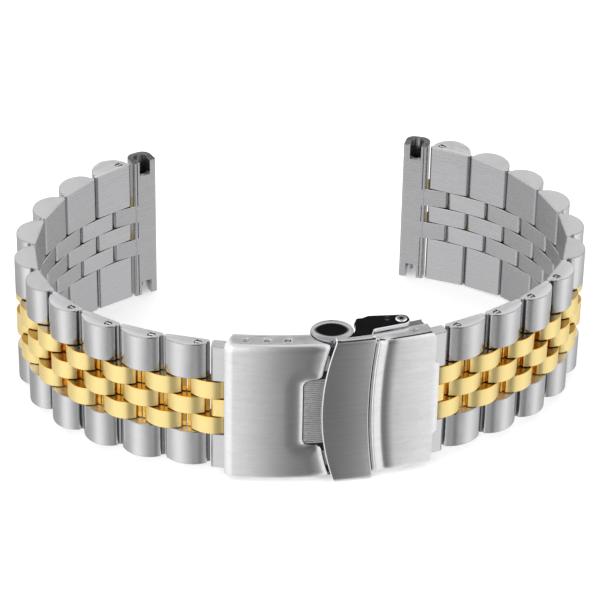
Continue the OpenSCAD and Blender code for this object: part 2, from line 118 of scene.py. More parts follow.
class ClaspSizes(bpy.types.PropertyGroup):
    curve: length("Curve", "Radius of the clasp along the wrist", 60.0)
    sheet: length("Sheet", "Thickness of the sheets", 0.55)
    hood_width: length("Hood width", "Width of the hood", 20.6)
    hood_left: length("Hood left", "Left end of the hood", 13.85)
    hood_depth: length("Hood depth", "Depth of the hood's side walls", 3.0)
    hood_slant: FloatProperty(name="Slant", default=21.0,
                              description="Slant of the hood's left end in degrees")
    recess: length("Recess left", "Left side of the thumb recess", 3.66)
    recess_height: length("Recess height", "Height of the thumb recess", 9.6)
    edge_gap: length("Edge gap", "Gap between the hood and the latch", 0.33)
    cover_width: length("Cover width", "Width of the end cover", 20.4)
    cover_left: length("Cover left", "Left edge of the cover at mid width", 4.92)
    cover_right: length("Cover right", "Right end of the cover's corners", 13.6)
    cover_bow: length("Cover bow", "How far the cover's left edge bows", 0.72)
    tongue: length("Tongue", "How far the cover's middle reaches past its corners", 0.65)
    tongue_height: length("Tongue height", "Height of the cover's middle", 10.8)
    latch_width: length("Latch width", "Width of the safety latch", 21.7)
    latch_left: length("Latch left", "Left edge of the latch at mid width", -1.38)
    latch_right: length("Latch right", "Right edge of the latch at mid width", 4.73)
    left_bow: length("Left bow", "How far the latch's left edge bows", 1.75)
    right_bow: length("Right bow", "How far the latch's right edge bows", 0.85)
    button: length("Button radius", "Radius of a push button's cap", 2.8)
    button_shift: length("Button shift", "Distance of a cap's centre from its stem", 1.37)


class FinishColours(bpy.types.PropertyGroup):
    steel: swatch("Steel", "Colour of the steel", (0.78, 0.78, 0.79))
    # the inner steel is darker partly for its own matt brushing and partly as painted shade inside the loop of the
    # bracelet
    inner_steel_with_shade: swatch("Inner steel", "Colour of the wrist side", (0.5, 0.5, 0.51))
    gold: swatch("Gold", "Colour of the plated links", (0.88, 0.7, 0.3))
    grain: FloatProperty(name="Grain", description="Strength of the brushed grain", default=0.35,
                         min=0, max=1, subtype="FACTOR")


def sizes():
    """Sizes of the links"""
    return bpy.context.scene.bracelet_links


def clasp_sizes():
    """Sizes of the clasp"""
    return bpy.context.scene.bracelet_clasp


# outlines and solids


def lerp(a, b, t):
    """Value between a and b at the share t"""
    return a + (b - a) * t


def spread(start, stop, count):
    """Evenly spaced values, both ends among them"""
    return [lerp(start, stop, i / (count - 1)) for i in range(count)]


def rounded_outline(corners, steps=5):
    """Outline through (x, y, radius) corners, each rounded by its radius"""
    points = []
    total = len(corners)
    for i, (x, y, r) in enumerate(corners):
        here = Vector((x, y))
        if r <= 0:
            points.append((x, y))
            continue
        to_last = (Vector(corners[i - 1][:2]) - here).normalized()
        to_next = (Vector(corners[(i + 1) % total][:2]) - here).normalized()
        half = to_last.angle(to_next) / 2
        centre = here + (to_last + to_next).normalized() * (r / math.sin(half))
        start = here + to_last * (r / math.tan(half)) - centre
        stop = here + to_next * (r / math.tan(half)) - centre
        turn = math.atan2(start.x * stop.y - start.y * stop.x, start.dot(stop))
        for k in range(steps + 1):
            a = turn * k / steps
            points.append((centre.x + start.x * math.cos(a) - start.y * math.sin(a),
                           centre.y + start.x * math.sin(a) + start.y * math.cos(a)))
    return points


def area_of(points):
    """Area of a closed outline, above 0 where it runs anticlockwise"""
    return sum(a[0] * b[1] - b[0] * a[1] for a, b in zip(points, points[1:] + points[:1])) / 2


def inset(points, distance):
    """Moves each point of a closed outline inwards"""
    sign = 1 if area_of(points) > 0 else -1
    out = []
    for i, p in enumerate(points):
        a, b = Vector(points[i - 1][:2]), Vector(points[(i + 1) % len(points)][:2])
        here = Vector(p[:2])
        first, second = (here - a), (b - here)
        if first.length < 1e-9 or second.length < 1e-9:
            out.append((here.x, here.y))
            continue
        n1 = Vector((-first.y, first.x)).normalized() * sign
        n2 = Vector((-second.y, second.x)).normalized() * sign
        move = (n1 + n2) / max(0.35, 1 + n1.dot(n2))
        out.append((here.x + move.x * distance, here.y + move.y * distance))
    return out


class Solid:
    """Collects vertices and faces, each face with the number of its material"""

    def __init__(self):
        self.verts, self.faces, self.marks = [], [], []

    def add(self, points):
        start = len(self.verts)
        self.verts += [tuple(p) for p in points]
        return list(range(start, start + len(points)))

    def face(self, ids, mark=0):
        self.faces.append(tuple(ids))
        self.marks.append(mark)

    def band(self, ring, other, marks=0, closed=True):
        n = len(ring)
        for i in range(n if closed else n - 1):
            k = (i + 1) % n
            mark = marks[i] if isinstance(marks, list) else marks
            self.face((ring[i], ring[k], other[k], other[i]), mark)

    def cap(self, ring, mark=0, holes=()):
        """Closes a ring, leaving the holes open"""
        if not holes:
            self.face(ring, mark)
            return
        loops = [[Vector((*self.verts[i][:2], 0)) for i in loop] for loop in (ring, *holes)]
        ids = [i for loop in (ring, *holes) for i in loop]
        for tri in tessellate_polygon(loops):
            self.face([ids[i] for i in tri], mark)

    def build(self, name, materials, matrix=None, sharp=32):
        mesh = bpy.data.meshes.new(name)
        mesh.from_pydata(self.verts, [], self.faces)
        for material in materials:
            mesh.materials.append(material)
        mesh.polygons.foreach_set("material_index", self.marks)
        obj = bpy.data.objects.new(name, mesh)
        bpy.context.scene.collection.objects.link(obj)
        if matrix is not None:
            obj.matrix_world = matrix
        tidy_normals(obj, sharp)
        return obj


def tidy_normals(obj, sharp=32):
    """Turns the faces outwards, smooths them and keeps edges sharper than the angle"""
    work = bmesh.new()
    work.from_mesh(obj.data)
    bmesh.ops.remove_doubles(work, verts=work.verts, dist=1e-7)
    bmesh.ops.recalc_face_normals(work, faces=work.faces)
    for f in work.faces:
        f.smooth = True
    limit = math.radians(sharp)
    for e in work.edges:
        e.smooth = len(e.link_faces) == 2 and e.calc_face_angle(0) < limit
    work.to_mesh(obj.data)
    work.free()


def weigh_normals(obj):
    """Lets the large faces rule the shading, and returns the piece"""
    weigh = obj.modifiers.new("Even normals", "WEIGHTED_NORMAL")
    weigh.keep_sharp = True
    return obj


def settle(obj):
    """Applies the modifiers of a piece"""
    bpy.context.view_layer.update()
    mesh = bpy.data.meshes.new_from_object(obj.evaluated_get(bpy.context.evaluated_depsgraph_get()))
    old = obj.data
    obj.modifiers.clear()
    obj.data = mesh
    bpy.data.meshes.remove(old)


def carve(obj, cutters):
    """Cuts the shapes out of a piece and removes them"""
    for cutter in cutters:
        cut = obj.modifiers.new("Cut", "BOOLEAN")
        cut.operation = "DIFFERENCE"
        cut.solver = "MANIFOLD"
        cut.object = cutter
    settle(obj)
    for cutter in cutters:
        bpy.data.objects.remove(cutter)


def rounded_edges(obj, width, angle=35):
    """Rounds the edges sharper than the angle"""
    bevel = obj.modifiers.new("Edges", "BEVEL")
    bevel.width = width
    bevel.segments = 2
    bevel.limit_method = "ANGLE"
    bevel.angle_limit = math.radians(angle)
    bevel.harden_normals = False
    settle(obj)
    tidy_normals(obj, 50)
    weigh_normals(obj)


def rounding(bevel):
    """Steps of a rounded edge, as how far each lies inwards and how far it drops"""
    angles = [math.pi / 2 * k / BEVEL_STEPS for k in range(BEVEL_STEPS + 1)]
    return [(bevel * (1 - math.sin(a)), bevel * (1 - math.cos(a))) for a in angles]


def prism(name, outline, low, high, materials, matrix=None, bevel=0.0, cap_mark=0):
    """Straight piece with an outline in X and Y and rounded ends"""
    solid = Solid()
    levels = rounding(bevel) if bevel else [(0.0, 0.0)]

    def ring(inward, z):
        return solid.add([(x, y, z) for x, y in (inset(outline, inward) if inward else outline)])

    rings = [ring(inward, low + drop) for inward, drop in levels]
    rings += [ring(inward, high - drop) for inward, drop in reversed(levels)]
    for a, b in zip(rings, rings[1:]):
        solid.band(a, b)
    solid.cap(rings[0], cap_mark)
    solid.cap(rings[-1], cap_mark)
    return solid.build(name, materials, matrix)


def circle(x, y, r, count=32):
    """Round outline"""
    return [(x + r * math.cos(2 * math.pi * i / count), y + r * math.sin(2 * math.pi * i / count))
            for i in range(count)]


def turned(name, profile, materials, matrix, count=48, marks=None):
    """Turned piece from (radius, height) pairs that start and end on the axis"""
    solid = Solid()
    rings = []
    for r, z in profile:
        if r < 1e-9:
            rings.append(solid.add([(0, 0, z)]))
        else:
            rings.append(solid.add([(*p, z) for p in circle(0, 0, r, count)]))
    for i, (a, b) in enumerate(zip(rings, rings[1:])):
        mark = marks[i] if marks else 0
        if len(a) == 1:
            for k in range(count):
                solid.face((a[0], b[k], b[(k + 1) % count]), mark)
        elif len(b) == 1:
            for k in range(count):
                solid.face((a[k], a[(k + 1) % count], b[0]), mark)
        else:
            solid.band(a, b, mark)
    return solid.build(name, materials, matrix)


# finishes


def add_node(tree, kind, place, settings=None, inputs=None):
    """Shader node with its settings and values"""
    made = tree.nodes.new(kind)
    made.location = place
    for key, value in (settings or {}).items():
        setattr(made, key, value)
    for key, value in (inputs or {}).items():
        made.inputs[key].default_value = value
    return made


def new_group(name, inputs, outputs):
    """Empty shader group with named inputs and outputs"""
    tree = bpy.data.node_groups.new(name, "ShaderNodeTree")
    for label, kind, default in inputs:
        socket = tree.interface.new_socket(label, in_out="INPUT", socket_type=kind)
        socket.default_value = default
    for label, kind in outputs:
        tree.interface.new_socket(label, in_out="OUTPUT", socket_type=kind)
    start = add_node(tree, "NodeGroupInput", (-900, 0))
    stop = add_node(tree, "NodeGroupOutput", (700, 0))
    return tree, start, stop


def grain_group():
    """Brushed lines: Height for a bump and Streak from 0 to 1, with lines per metre along each axis"""
    name = "Brushed Grain"
    if name in bpy.data.node_groups:
        return bpy.data.node_groups[name]
    tree, start, stop = new_group(name, [
        ("Along X", "NodeSocketFloat", 150.0), ("Along Y", "NodeSocketFloat", 4000.0),
        ("Along Z", "NodeSocketFloat", 4000.0)],
        [("Height", "NodeSocketFloat"), ("Streak", "NodeSocketFloat")])
    link = tree.links.new
    where = add_node(tree, "ShaderNodeTexCoord", (-900, 300))
    rates = add_node(tree, "ShaderNodeCombineXYZ", (-700, 0))
    for axis in "XYZ":
        link(start.outputs["Along " + axis], rates.inputs[axis])
    scaled = add_node(tree, "ShaderNodeVectorMath", (-500, 150), {"operation": "MULTIPLY"})
    link(where.outputs["Object"], scaled.inputs[0])
    link(rates.outputs[0], scaled.inputs[1])
    fine = add_node(tree, "ShaderNodeTexNoise", (-300, 250),
                    inputs={"Scale": 2.6, "Detail": 3.0, "Roughness": 0.7})
    broad = add_node(tree, "ShaderNodeTexNoise", (-300, -50),
                     inputs={"Scale": 0.45, "Detail": 2.0, "Roughness": 0.6})
    link(scaled.outputs[0], fine.inputs["Vector"])
    link(scaled.outputs[0], broad.inputs["Vector"])
    both = add_node(tree, "ShaderNodeMix", (0, 150), {"data_type": "FLOAT"}, {"Factor": 0.4})
    link(fine.outputs["Fac"], both.inputs[2])
    link(broad.outputs["Fac"], both.inputs[3])
    wide = add_node(tree, "ShaderNodeMapRange", (250, 0), inputs={"From Min": 0.3, "From Max": 0.7})
    link(both.outputs[0], wide.inputs["Value"])
    link(both.outputs[0], stop.inputs["Height"])
    link(wide.outputs[0], stop.inputs["Streak"])
    return tree


def handling_group():
    """Faint smudges and hairlines from handling: Mask from 0 to 1"""
    name = "Handling Marks"
    if name in bpy.data.node_groups:
        return bpy.data.node_groups[name]
    tree, start, stop = new_group(name, [
        ("Size", "NodeSocketFloat", 250.0), ("Amount", "NodeSocketFloat", 0.3)],
        [("Mask", "NodeSocketFloat")])
    link = tree.links.new
    where = add_node(tree, "ShaderNodeTexCoord", (-900, 300))
    cloud = add_node(tree, "ShaderNodeTexNoise", (-500, 200), inputs={"Detail": 5.0, "Roughness": 0.65})
    link(where.outputs["Object"], cloud.inputs["Vector"])
    link(start.outputs["Size"], cloud.inputs["Scale"])
    cut = add_node(tree, "ShaderNodeMapRange", (-200, 200), inputs={"From Min": 0.42, "From Max": 0.72})
    link(cloud.outputs["Fac"], cut.inputs["Value"])
    level = add_node(tree, "ShaderNodeMath", (100, 100), {"operation": "MULTIPLY"})
    link(cut.outputs[0], level.inputs[0])
    link(start.outputs["Amount"], level.inputs[1])
    link(level.outputs[0], stop.inputs["Mask"])
    return tree


def metal(name, colour, rough, grain=None, depth=0.35, shift=0.18, smudge=0.05, smudge_size=250.0,
          smear=0.0, plate=1.0):
    """Metal that is darker by the shift in its marks

    grain is a brushed grain as lines per metre along X, Y and Z, smear stretches reflections
    upright, and plate is how metallic the surface is.
    """
    if name in bpy.data.materials:
        return bpy.data.materials[name]
    material = bpy.data.materials.new(name)
    material.use_nodes = True
    tree = material.node_tree
    link = tree.links.new
    surface = tree.nodes["Principled BSDF"]
    surface.inputs["Metallic"].default_value = plate
    marks = add_node(tree, "ShaderNodeGroup", (-900, -200), {"node_tree": handling_group()},
                     {"Size": smudge_size, "Amount": smudge})
    dark = tuple(c * (1 - shift) for c in colour) + (1,)
    tint = add_node(tree, "ShaderNodeMix", (-350, 250), {"data_type": "RGBA"},
                    {6: dark, 7: tuple(colour) + (1,)})
    roughness = add_node(tree, "ShaderNodeMath", (-350, -100), {"operation": "ADD"})
    if grain:
        lines = add_node(tree, "ShaderNodeGroup", (-900, 200), {"node_tree": grain_group()},
                         {"Along X": grain[0], "Along Y": grain[1], "Along Z": grain[2]})
        link(lines.outputs["Streak"], tint.inputs["Factor"])
        spreading = add_node(tree, "ShaderNodeMapRange", (-600, 0),
                             inputs={"To Min": rough * 1.25, "To Max": rough * 0.8})
        link(lines.outputs["Streak"], spreading.inputs["Value"])
        link(spreading.outputs[0], roughness.inputs[0])
        bump = add_node(tree, "ShaderNodeBump", (-350, -350),
                        inputs={"Strength": depth, "Distance": 0.02 * MM})
        link(lines.outputs["Height"], bump.inputs["Height"])
        link(bump.outputs["Normal"], surface.inputs["Normal"])
    else:
        link(marks.outputs["Mask"], tint.inputs["Factor"])
        tint.inputs[6].default_value = tuple(colour) + (1,)
        tint.inputs[7].default_value = dark
        roughness.inputs[0].default_value = rough
    if smear:
        upright = add_node(tree, "ShaderNodeCombineXYZ", (-350, -600), inputs={"Z": 1.0})
        link(upright.outputs[0], surface.inputs["Tangent"])
        surface.inputs["Anisotropic"].default_value = smear
    link(marks.outputs["Mask"], roughness.inputs[1])
    link(tint.outputs[2], surface.inputs["Base Color"])
    link(roughness.outputs[0], surface.inputs["Roughness"])
    return material


def grey(level):
    """Steel grey, a touch blue"""
    return level, level, level + 0.01


def finish(kind):
    """The named finish, made when it is first used"""
    c = bpy.context.scene.bracelet_finish
    g = c.grain
    finishes = {
        "brushed dome": dict(colour=c.steel, rough=0.2, grain=(900, 900, 9000), depth=g * 0.7, shift=0.1),
        "brushed end": dict(colour=grey(0.74), rough=0.42, grain=(2500, 2500, 2500), depth=g * 0.4,
                            shift=0.08),
        # brushed inner: steel of the wrist side, darker partly as its own matt finish and partly as painted shade
        # inside the loop
        "brushed inner with shade": dict(colour=c.inner_steel_with_shade, rough=0.26, grain=(300, 300, 7000), depth=g,
                              shift=0.16),
        # polished side: steel darkened as painted shade on the link sides beside the gaps, their bevels and the
        # button caps' rims
        "shaded polished side": dict(colour=grey(0.36), rough=0.14, smudge=0.08),
        "polished steel": dict(colour=grey(0.66), rough=0.08, smudge=0.06),
        # black polish: polished steel darkened as a painted dark reflection on the latch arms' flat faces and the
        # button crowns
        "reflection-darkened polish": dict(colour=grey(0.34), rough=0.07, smudge=0.06),
        "polished gold": dict(colour=c.gold, rough=0.33, smudge=0.04, smudge_size=400.0, smear=0.9,
                              plate=0.72),
        # gold side: deeper orange gold as painted shade in the gaps between gold links
        "shaded gold side": dict(colour=(0.82, 0.47, 0.09), rough=0.16, smudge=0.08),
        # gold end: dark gold as painted shade on the end faces that sit between the columns
        "shaded gold end": dict(colour=(0.38, 0.29, 0.16), rough=0.24, smudge=0.08),
        "clasp face": dict(colour=grey(0.86), rough=0.36, grain=(130, 2500, 3800), depth=g, shift=0.16,
                           smear=0.92),
        # latch face: the clasp face's steel darkened as a painted darker reflection on the latch
        "reflection-darkened latch face": dict(colour=grey(0.75), rough=0.36, grain=(130, 2500, 3800), depth=g, shift=0.18,
                           smear=0.92),
        "clasp side": dict(colour=grey(0.78), rough=0.36, grain=(300, 6000, 3000), depth=g * 0.6,
                           shift=0.1),
        "blade steel": dict(colour=grey(0.58), rough=0.28, grain=(200, 5000, 5000), depth=g, shift=0.2),
        "pin steel": dict(colour=grey(0.62), rough=0.25, grain=(6000, 6000, 400), depth=g * 0.5,
                          shift=0.2),
        "bright edge": dict(colour=grey(0.8), rough=0.3, smudge=0.04),
        "shadowed steel": dict(colour=(0.07, 0.07, 0.07), rough=0.5, grain=(3000, 3000, 3000),
                               depth=g * 0.5, shift=0.3),
    }
    return metal(kind.title(), **finishes[kind])


def finish_list(*kinds):
    """A piece's finishes, in the order of its face numbers"""
    return [finish(kind) for kind in kinds]


# chain of links


def own(piece, body, slot, *nodes):
    """Puts a piece on its body, in the place of its CAD nodes"""
    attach(piece, body)
    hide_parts(*nodes)
    return piece


def chain_place(side, near, far):
    """Matrix with X along the chain, left to right, and Y towards the wrist"""
    run = (far - near).normalized() * (1 if side == "right" else -1)
    up = Vector((0, 0, 1))
    place = Matrix((run, up.cross(run), up)).transposed().to_4x4()
    place.translation = (near + far) / 2
    return place


def pin_of(side, name):
    """Place of the pin on which a piece of the chain turns"""
    return JOINTS[f"{side}_{name}_turn"]


def half_width(spot):
    """Half of the bracelet's width at a row or between two"""
    s = sizes()
    share = min(1, max(0, (spot - s.taper_row) / (ROWS - s.taper_row)))
    return lerp(s.narrow / 2, s.wide / 2, share)


def thickness(spot):
    """Thickness of the links at a row or between two"""
    s = sizes()
    return lerp(s.thin, s.thick, min(1, max(0, (spot - 2) / (s.thick_row - 2))))


# kinds of surface of a link, as the numbers of its finishes; PAINTED_SHADE is the near-black steel painted as
# shade in pin holes and below the foot
DOME, SIDE, INNER, CAP, PAINTED_SHADE = 0, 1, 2, 3, 4


def domed_outline(spot, gap):
    """Cross-section of a link as points, with the kind of surface that follows each point

    The dome ends at the gap, and the foot below it reaches nearer to the next row.
    """
    s = sizes()
    half, foot = (s.pitch - gap) / 2, (s.pitch - s.gap) / 2
    rise = thickness(spot) - s.side
    radius = (half * half + rise * rise) / (2 * rise)
    top = s.pin_height - thickness(spot)
    sweep = math.asin(half / radius)
    soft = 0.13 * MM
    foot_height, foot_slope = 0.72 * MM, 0.08 * MM
    right = []
    for t in spread(0, sweep - soft / radius, 13):
        right.append((radius * math.sin(t), top + radius - radius * math.cos(t), DOME))
    corner = Vector((half, top + rise))
    start, stop = Vector(right[-1][:2]), corner + Vector((0, soft))
    for t in (0.25, 0.5, 0.75, 1.0):
        p = start * (1 - t) ** 2 + corner * 2 * t * (1 - t) + stop * t * t
        right.append((p.x, p.y, SIDE))
    step = s.pin_height - foot_height
    # the wall from the foot down to the inner face gets painted shade
    right += [(half, step, SIDE), (foot, step + foot_slope, PAINTED_SHADE)]
    x, y = foot - s.inner, s.pin_height - s.inner
    for k in range(6):
        a = math.pi / 2 * k / 5
        right.append((x + s.inner * math.cos(a), y + s.inner * math.sin(a), INNER))
    points = [(x, y) for x, y, kind in right]
    kinds = [kind for x, y, kind in right]
    points += [(-x, y) for x, y in reversed(points[1:])]
    # a surface belongs to the point before it, so the mirrored kinds shift by one
    kinds += list(reversed(kinds[:-1]))[:len(points) - len(kinds)]
    return points, kinds


def first_outline():
    """Cross-section of the thin first link, as seen on the right side"""
    s = sizes()
    u = s.pitch / 4
    near, far = -u - s.end_top, u + 1.3 * MM
    points = rounded_outline([
        (near, -s.end_top, s.end_top * 0.9), (far, -s.end_top, 0.3 * MM),
        (far, s.pin_height, 0.4 * MM), (near, s.pin_height, 0.4 * MM)])
    kinds = []
    for p, q in zip(points, points[1:] + points[:1]):
        flat = abs(p[1] - q[1]) < 1e-8
        kinds.append(DOME if flat and p[1] < 0 else INNER if flat else SIDE)
    return points, kinds


def link_solid(outline, kinds, low, high, bevel, holes=()):
    """Solid between two ends whose height is a function of the place along the link

    holes are (x, radius, depth) in the upper end.
    """
    solid = Solid()
    levels = rounding(bevel)
    lead = 0.06 * MM
    rings = []
    for inward, drop in levels:
        rings.append(solid.add([(x, y, low(x) + drop) for x, y in inset(outline, inward)]))
    for inward, drop in reversed(levels):
        rings.append(solid.add([(x, y, high(x) - drop) for x, y in inset(outline, inward)]))
    edge = [SIDE if k != INNER else INNER for k in kinds]
    for i, (a, b) in enumerate(zip(rings, rings[1:])):
        solid.band(a, b, kinds if i == BEVEL_STEPS else edge)
    solid.cap(rings[0], CAP)
    rims = []
    for x, r, depth in holes:
        rim = solid.add([(*p, high(p[0])) for p in circle(x, 0, r + lead, 24)])
        wall = solid.add([(*p, high(p[0]) - lead) for p in circle(x, 0, r, 24)])
        floor = solid.add([(*p, high(p[0]) - depth) for p in circle(x, 0, r, 24)])
        solid.band(rim, wall, SIDE)
        # the hole's wall and floor get the near-black steel as painted shade
        solid.band(wall, floor, PAINTED_SHADE)
        solid.cap(floor, PAINTED_SHADE)
        rims.append(rim)
    solid.cap(rings[-1], CAP, rims)
    return solid


def split_pin(name, r, low, high, x, place):
    """Link pin bent from half-round wire, with a slit that shows at its ends"""
    solid = Solid()
    slit, soft = 0.05 * MM, 0.07 * MM
    for turn in (0, math.pi):
        start = math.asin(slit / r)
        angles = [a + turn for a in spread(start, math.pi - start, 15)]
        half = [(r * math.cos(a), r * math.sin(a)) for a in angles]
        rings = []
        for inward, z in ((soft, low), (0, low + soft), (0, high - soft), (soft, high)):
            rings.append(solid.add([(p[0] + x, p[1], z) for p in inset(half, inward)]))
        for a, b in zip(rings, rings[1:]):
            solid.band(a, b)
        solid.cap(rings[0])
        solid.cap(rings[-1])
    return weigh_normals(solid.build(name, finish_list("pin steel"), place))


def gold_finishes():
    """Finishes of a gold link, with painted shade on its sides, end faces and gaps"""
    return finish_list("polished gold", "shaded gold side", "brushed inner with shade", "shaded gold end", "shadowed steel")


def is_removable(row, end):
    """Whether the pin at the clasp's end (-1) or the watch's end (1) of a row has an open hole"""
    return (end < 0 and row in REMOVABLE_ROWS) or (end > 0 and row == ROWS)


def make_row(side, row):
    """Two outer links, the centre link between them and their pins"""
    s = sizes()
    sign = 1 if side == "right" else -1
    body = f"{side}_row_{row}"
    near = pin_of(side, f"row_{row}")
    far = pin_of(side, f"joiner_{row}" if row < ROWS else "end_bar")
    place = chain_place(side, near, far)
    outline, kinds = first_outline() if row == 1 else domed_outline(row, s.steel_gap)
    outline = [(x * sign, y) for x, y in outline]
    u = s.pitch / 4
    column_edge = s.centre / 2 * 3 + 2 * s.column_gap
    hole_gap, hole_depth, blind_wall = 0.05 * MM, 1.0 * MM, 0.9 * MM

    def width(x):
        return half_width(row + sign * x / s.pitch)

    steel = finish_list("clasp side" if row == 1 else "brushed dome", "shaded polished side", "brushed inner with shade",
                        "brushed end", "shadowed steel")
    holes = [(end * sign * u, s.pin + hole_gap, hole_depth) for end in (-1, 1) if is_removable(row, end)]
    top = link_solid(outline, kinds, lambda x: column_edge, width, s.bevel, holes)
    bottom = link_solid(outline, kinds, lambda x: -width(x), lambda x: -column_edge, s.bevel)
    for label, solid in (("top", top), ("bottom", bottom)):
        piece = weigh_normals(solid.build(f"{side}_outer_link_{row}_{label}", steel, place))
        own(piece, body, "steel_links", body)
    if row > 1:
        outline, kinds = domed_outline(row, s.gold_gap)
        outline = [(x * sign, y) for x, y in outline]
    centre = link_solid(outline, kinds, lambda x: -s.centre / 2, lambda x: s.centre / 2, s.bevel * 0.8)
    piece = weigh_normals(centre.build(f"{side}_centre_link_{row}", gold_finishes(), place))
    own(piece, body, "gold_links", body)
    for end in ((1,) if row == 1 else (-1, 1)):
        edge = half_width(row + end / 4)
        label = "near" if end < 0 else "far"
        top_inset = s.pin_shown if is_removable(row, end) else blind_wall
        piece = split_pin(f"{side}_link_pin_{row}_{label}", s.pin, s.pin_depth - edge, edge - top_inset,
                          end * sign * u, place)
        own(piece, body, "pin_steel", body)


def make_fingers(name, body, slot, outline, kinds, place):
    """Two gold links of one cross-section, beside the centre column"""
    s = sizes()
    golden = gold_finishes()
    low = s.centre / 2 + s.column_gap
    for label, flip in (("top", 1), ("bottom", -1)):
        z0, z1 = sorted((flip * low, flip * (low + s.centre)))
        solid = link_solid(outline, kinds, lambda x: z0, lambda x: z1, s.bevel * 0.8)
        piece = weigh_normals(solid.build(f"{name}_{label}", golden, place))
        own(piece, body, slot, body)


def make_joiner(side, row):
    """Gold side links between a row and the next"""
    s = sizes()
    place = chain_place(side, pin_of(side, f"joiner_{row}"), pin_of(side, f"row_{row + 1}"))
    outline, kinds = domed_outline(row + 0.5, s.gold_gap)
    if row == 1:
        # cut low beside the clasp's sheet
        sign = 1 if side == "right" else -1
        step = -s.pin - 0.4 * MM
        outline = [(x, max(y, step) if x * sign < -s.pitch / 4 + s.pin / 2 else y) for x, y in outline]
    make_fingers(f"{side}_side_link_{row}", f"{side}_joiner_{row}", "gold_links", outline, kinds, place)


def make_end_bar(side):
    """Folded sheet with a tube for the watch's spring bar, and its two fingers"""
    s, b = sizes(), bpy.context.scene.bracelet_bar
    sign = 1 if side == "right" else -1
    body = f"{side}_end_bar"
    pin, tube = pin_of(side, "end_bar"), MOUNTS[f"{side}_spring_bar_hole"]
    tube_y = s.pin_height - b.bore - b.wall
    run = (tube - pin).normalized()
    run.rotate(Matrix.Rotation(-sign * math.atan2(tube_y, b.reach), 3, "Z"))
    place = chain_place(side, pin, pin + run)
    place.translation = pin
    half = s.wide / 2
    left, right, outer = b.reach - b.plate / 2, b.reach + b.plate / 2, tube_y - b.bore - b.wall
    soft, fold = 0.25 * MM, 1.3 * MM
    shell = rounded_outline([(sign * x, y, r) for x, y, r in (
        (left, s.pin_height, soft), (right, s.pin_height, soft), (right, outer, fold),
        (left, outer, fold))], 8)
    finishes = finish_list("brushed inner with shade", "brushed end", "shadowed steel")
    bar = prism(f"{side}_end_bar_shell", shell, -half, half, finishes, place)
    bore = circle(sign * b.reach, tube_y, b.bore, 40)
    cutters = [prism("bore", bore, -FAR_OFF, FAR_OFF, finishes, place)]
    above = s.pin_height + MM
    x0, x1 = sorted((sign * (b.reach - b.notch / 2), sign * (b.reach + b.notch / 2)))
    notch = [(x0, tube_y), (x1, tube_y), (x1, above), (x0, above)]
    for z0, z1 in ((half - b.notch_depth, FAR_OFF), (-FAR_OFF, b.notch_depth - half)):
        cutters.append(prism("notch", notch, z0, z1, finishes, place))
    # slit where the folded sheet meets itself
    slit_place, slit_width, slit_depth = 0.5 * MM, 0.12 * MM, 0.5 * MM
    x0, x1 = sorted((sign * (left + slit_place), sign * (left + slit_place + slit_width)))
    below = s.pin_height - slit_depth
    slit = [(x0, below), (x1, below), (x1, above), (x0, above)]
    fingers_edge = s.centre / 2 * 3
    for z0, z1 in ((fingers_edge, FAR_OFF), (-FAR_OFF, -fingers_edge), (-s.centre / 2, s.centre / 2)):
        cutters.append(prism("slit", slit, z0, z1, finishes, place))
    carve(bar, cutters)
    rounded_edges(bar, 0.07 * MM)
    own(bar, body, "end_bars", body)
    outline, kinds = domed_outline(ROWS, s.gold_gap)
    outline = [(sign * min(x + s.pitch / 4, left + 0.3 * MM), y) for x, y in outline]
    make_fingers(f"{side}_end_finger", body, "end_bars", outline, kinds, place)


# clasp

SEAT_DEPTH = 1.65 * MM    # depth of the holes in the side walls below the clasp's face
SEAT_PLACE = 11.2 * MM    # place of the outermost hole, from the clasp's middle
SEAT_STEP = 2.7 * MM      # distance between the hood's holes
WALL_REACH = 1.2 * MM     # how far a hole's cutter goes in from the side wall
PIVOT_LEAD = 8.2 * MM     # place of the pivot for which the arm's outline is written


def on_arc(x, depth, z=0.0):
    """Point at a depth below the clasp's face, on the normal at x"""
    r = clasp_sizes().curve
    a = math.asin(x / r)
    return Vector(((r - depth) * math.sin(a), FACE_Y + r - (r - depth) * math.cos(a), MID_Z + z))


def side_holes(name, outline, width, reach, materials):
    """Cutters through the two side walls of a sheet of this width"""
    cutters = []
    for flip in (1, -1):
        z0, z1 = sorted((MID_Z + flip * (width / 2 - reach), MID_Z + flip * (width / 2 + MM)))
        cutters.append(prism(name, outline, z0, z1, materials))
    return cutters


def latch_edges(z):
    """Left and right edge of the latch at a distance from mid width"""
    c = clasp_sizes()
    share = (2 * min(abs(z), c.latch_width / 2) / c.latch_width) ** 2
    return c.latch_left + c.left_bow * share, c.latch_right + c.right_bow * share


def button_at():
    """Middle of the buttons' stems at mid width"""
    low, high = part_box("push_button_top")
    middle = (low + high) / 2
    return Vector((middle.x, middle.y, MID_Z))


def cap_at():
    """Centre of a button's cap, which sits beside its stem"""
    return button_at() + Vector((clasp_sizes().button_shift, 0.35 * MM, 0))


def section(width, depth, corner_z, corner_d, face_steps, face=0.0, wall_steps=5):
    """Cross-section of a sheet with rounded side walls, as (z, depth, normal z, normal depth)"""
    half = width / 2
    rows = [(half, d, 1.0, 0.0) for d in spread(depth, face + corner_d, wall_steps)[:-1]]
    for k in range(11):
        a = math.pi / 2 * k / 10
        z, d = half - corner_z + corner_z * math.cos(a), face + corner_d - corner_d * math.sin(a)
        n = Vector((math.cos(a) / corner_z, -math.sin(a) / corner_d)).normalized()
        rows.append((z, d, n.x, n.y))
    flat = spread(half - corner_z, 0, face_steps)[1:]
    rows += [(z, face, 0.0, -1.0) for z in flat]
    return rows + [(-z, d, -n, m) for z, d, n, m in reversed(rows[:-1])]


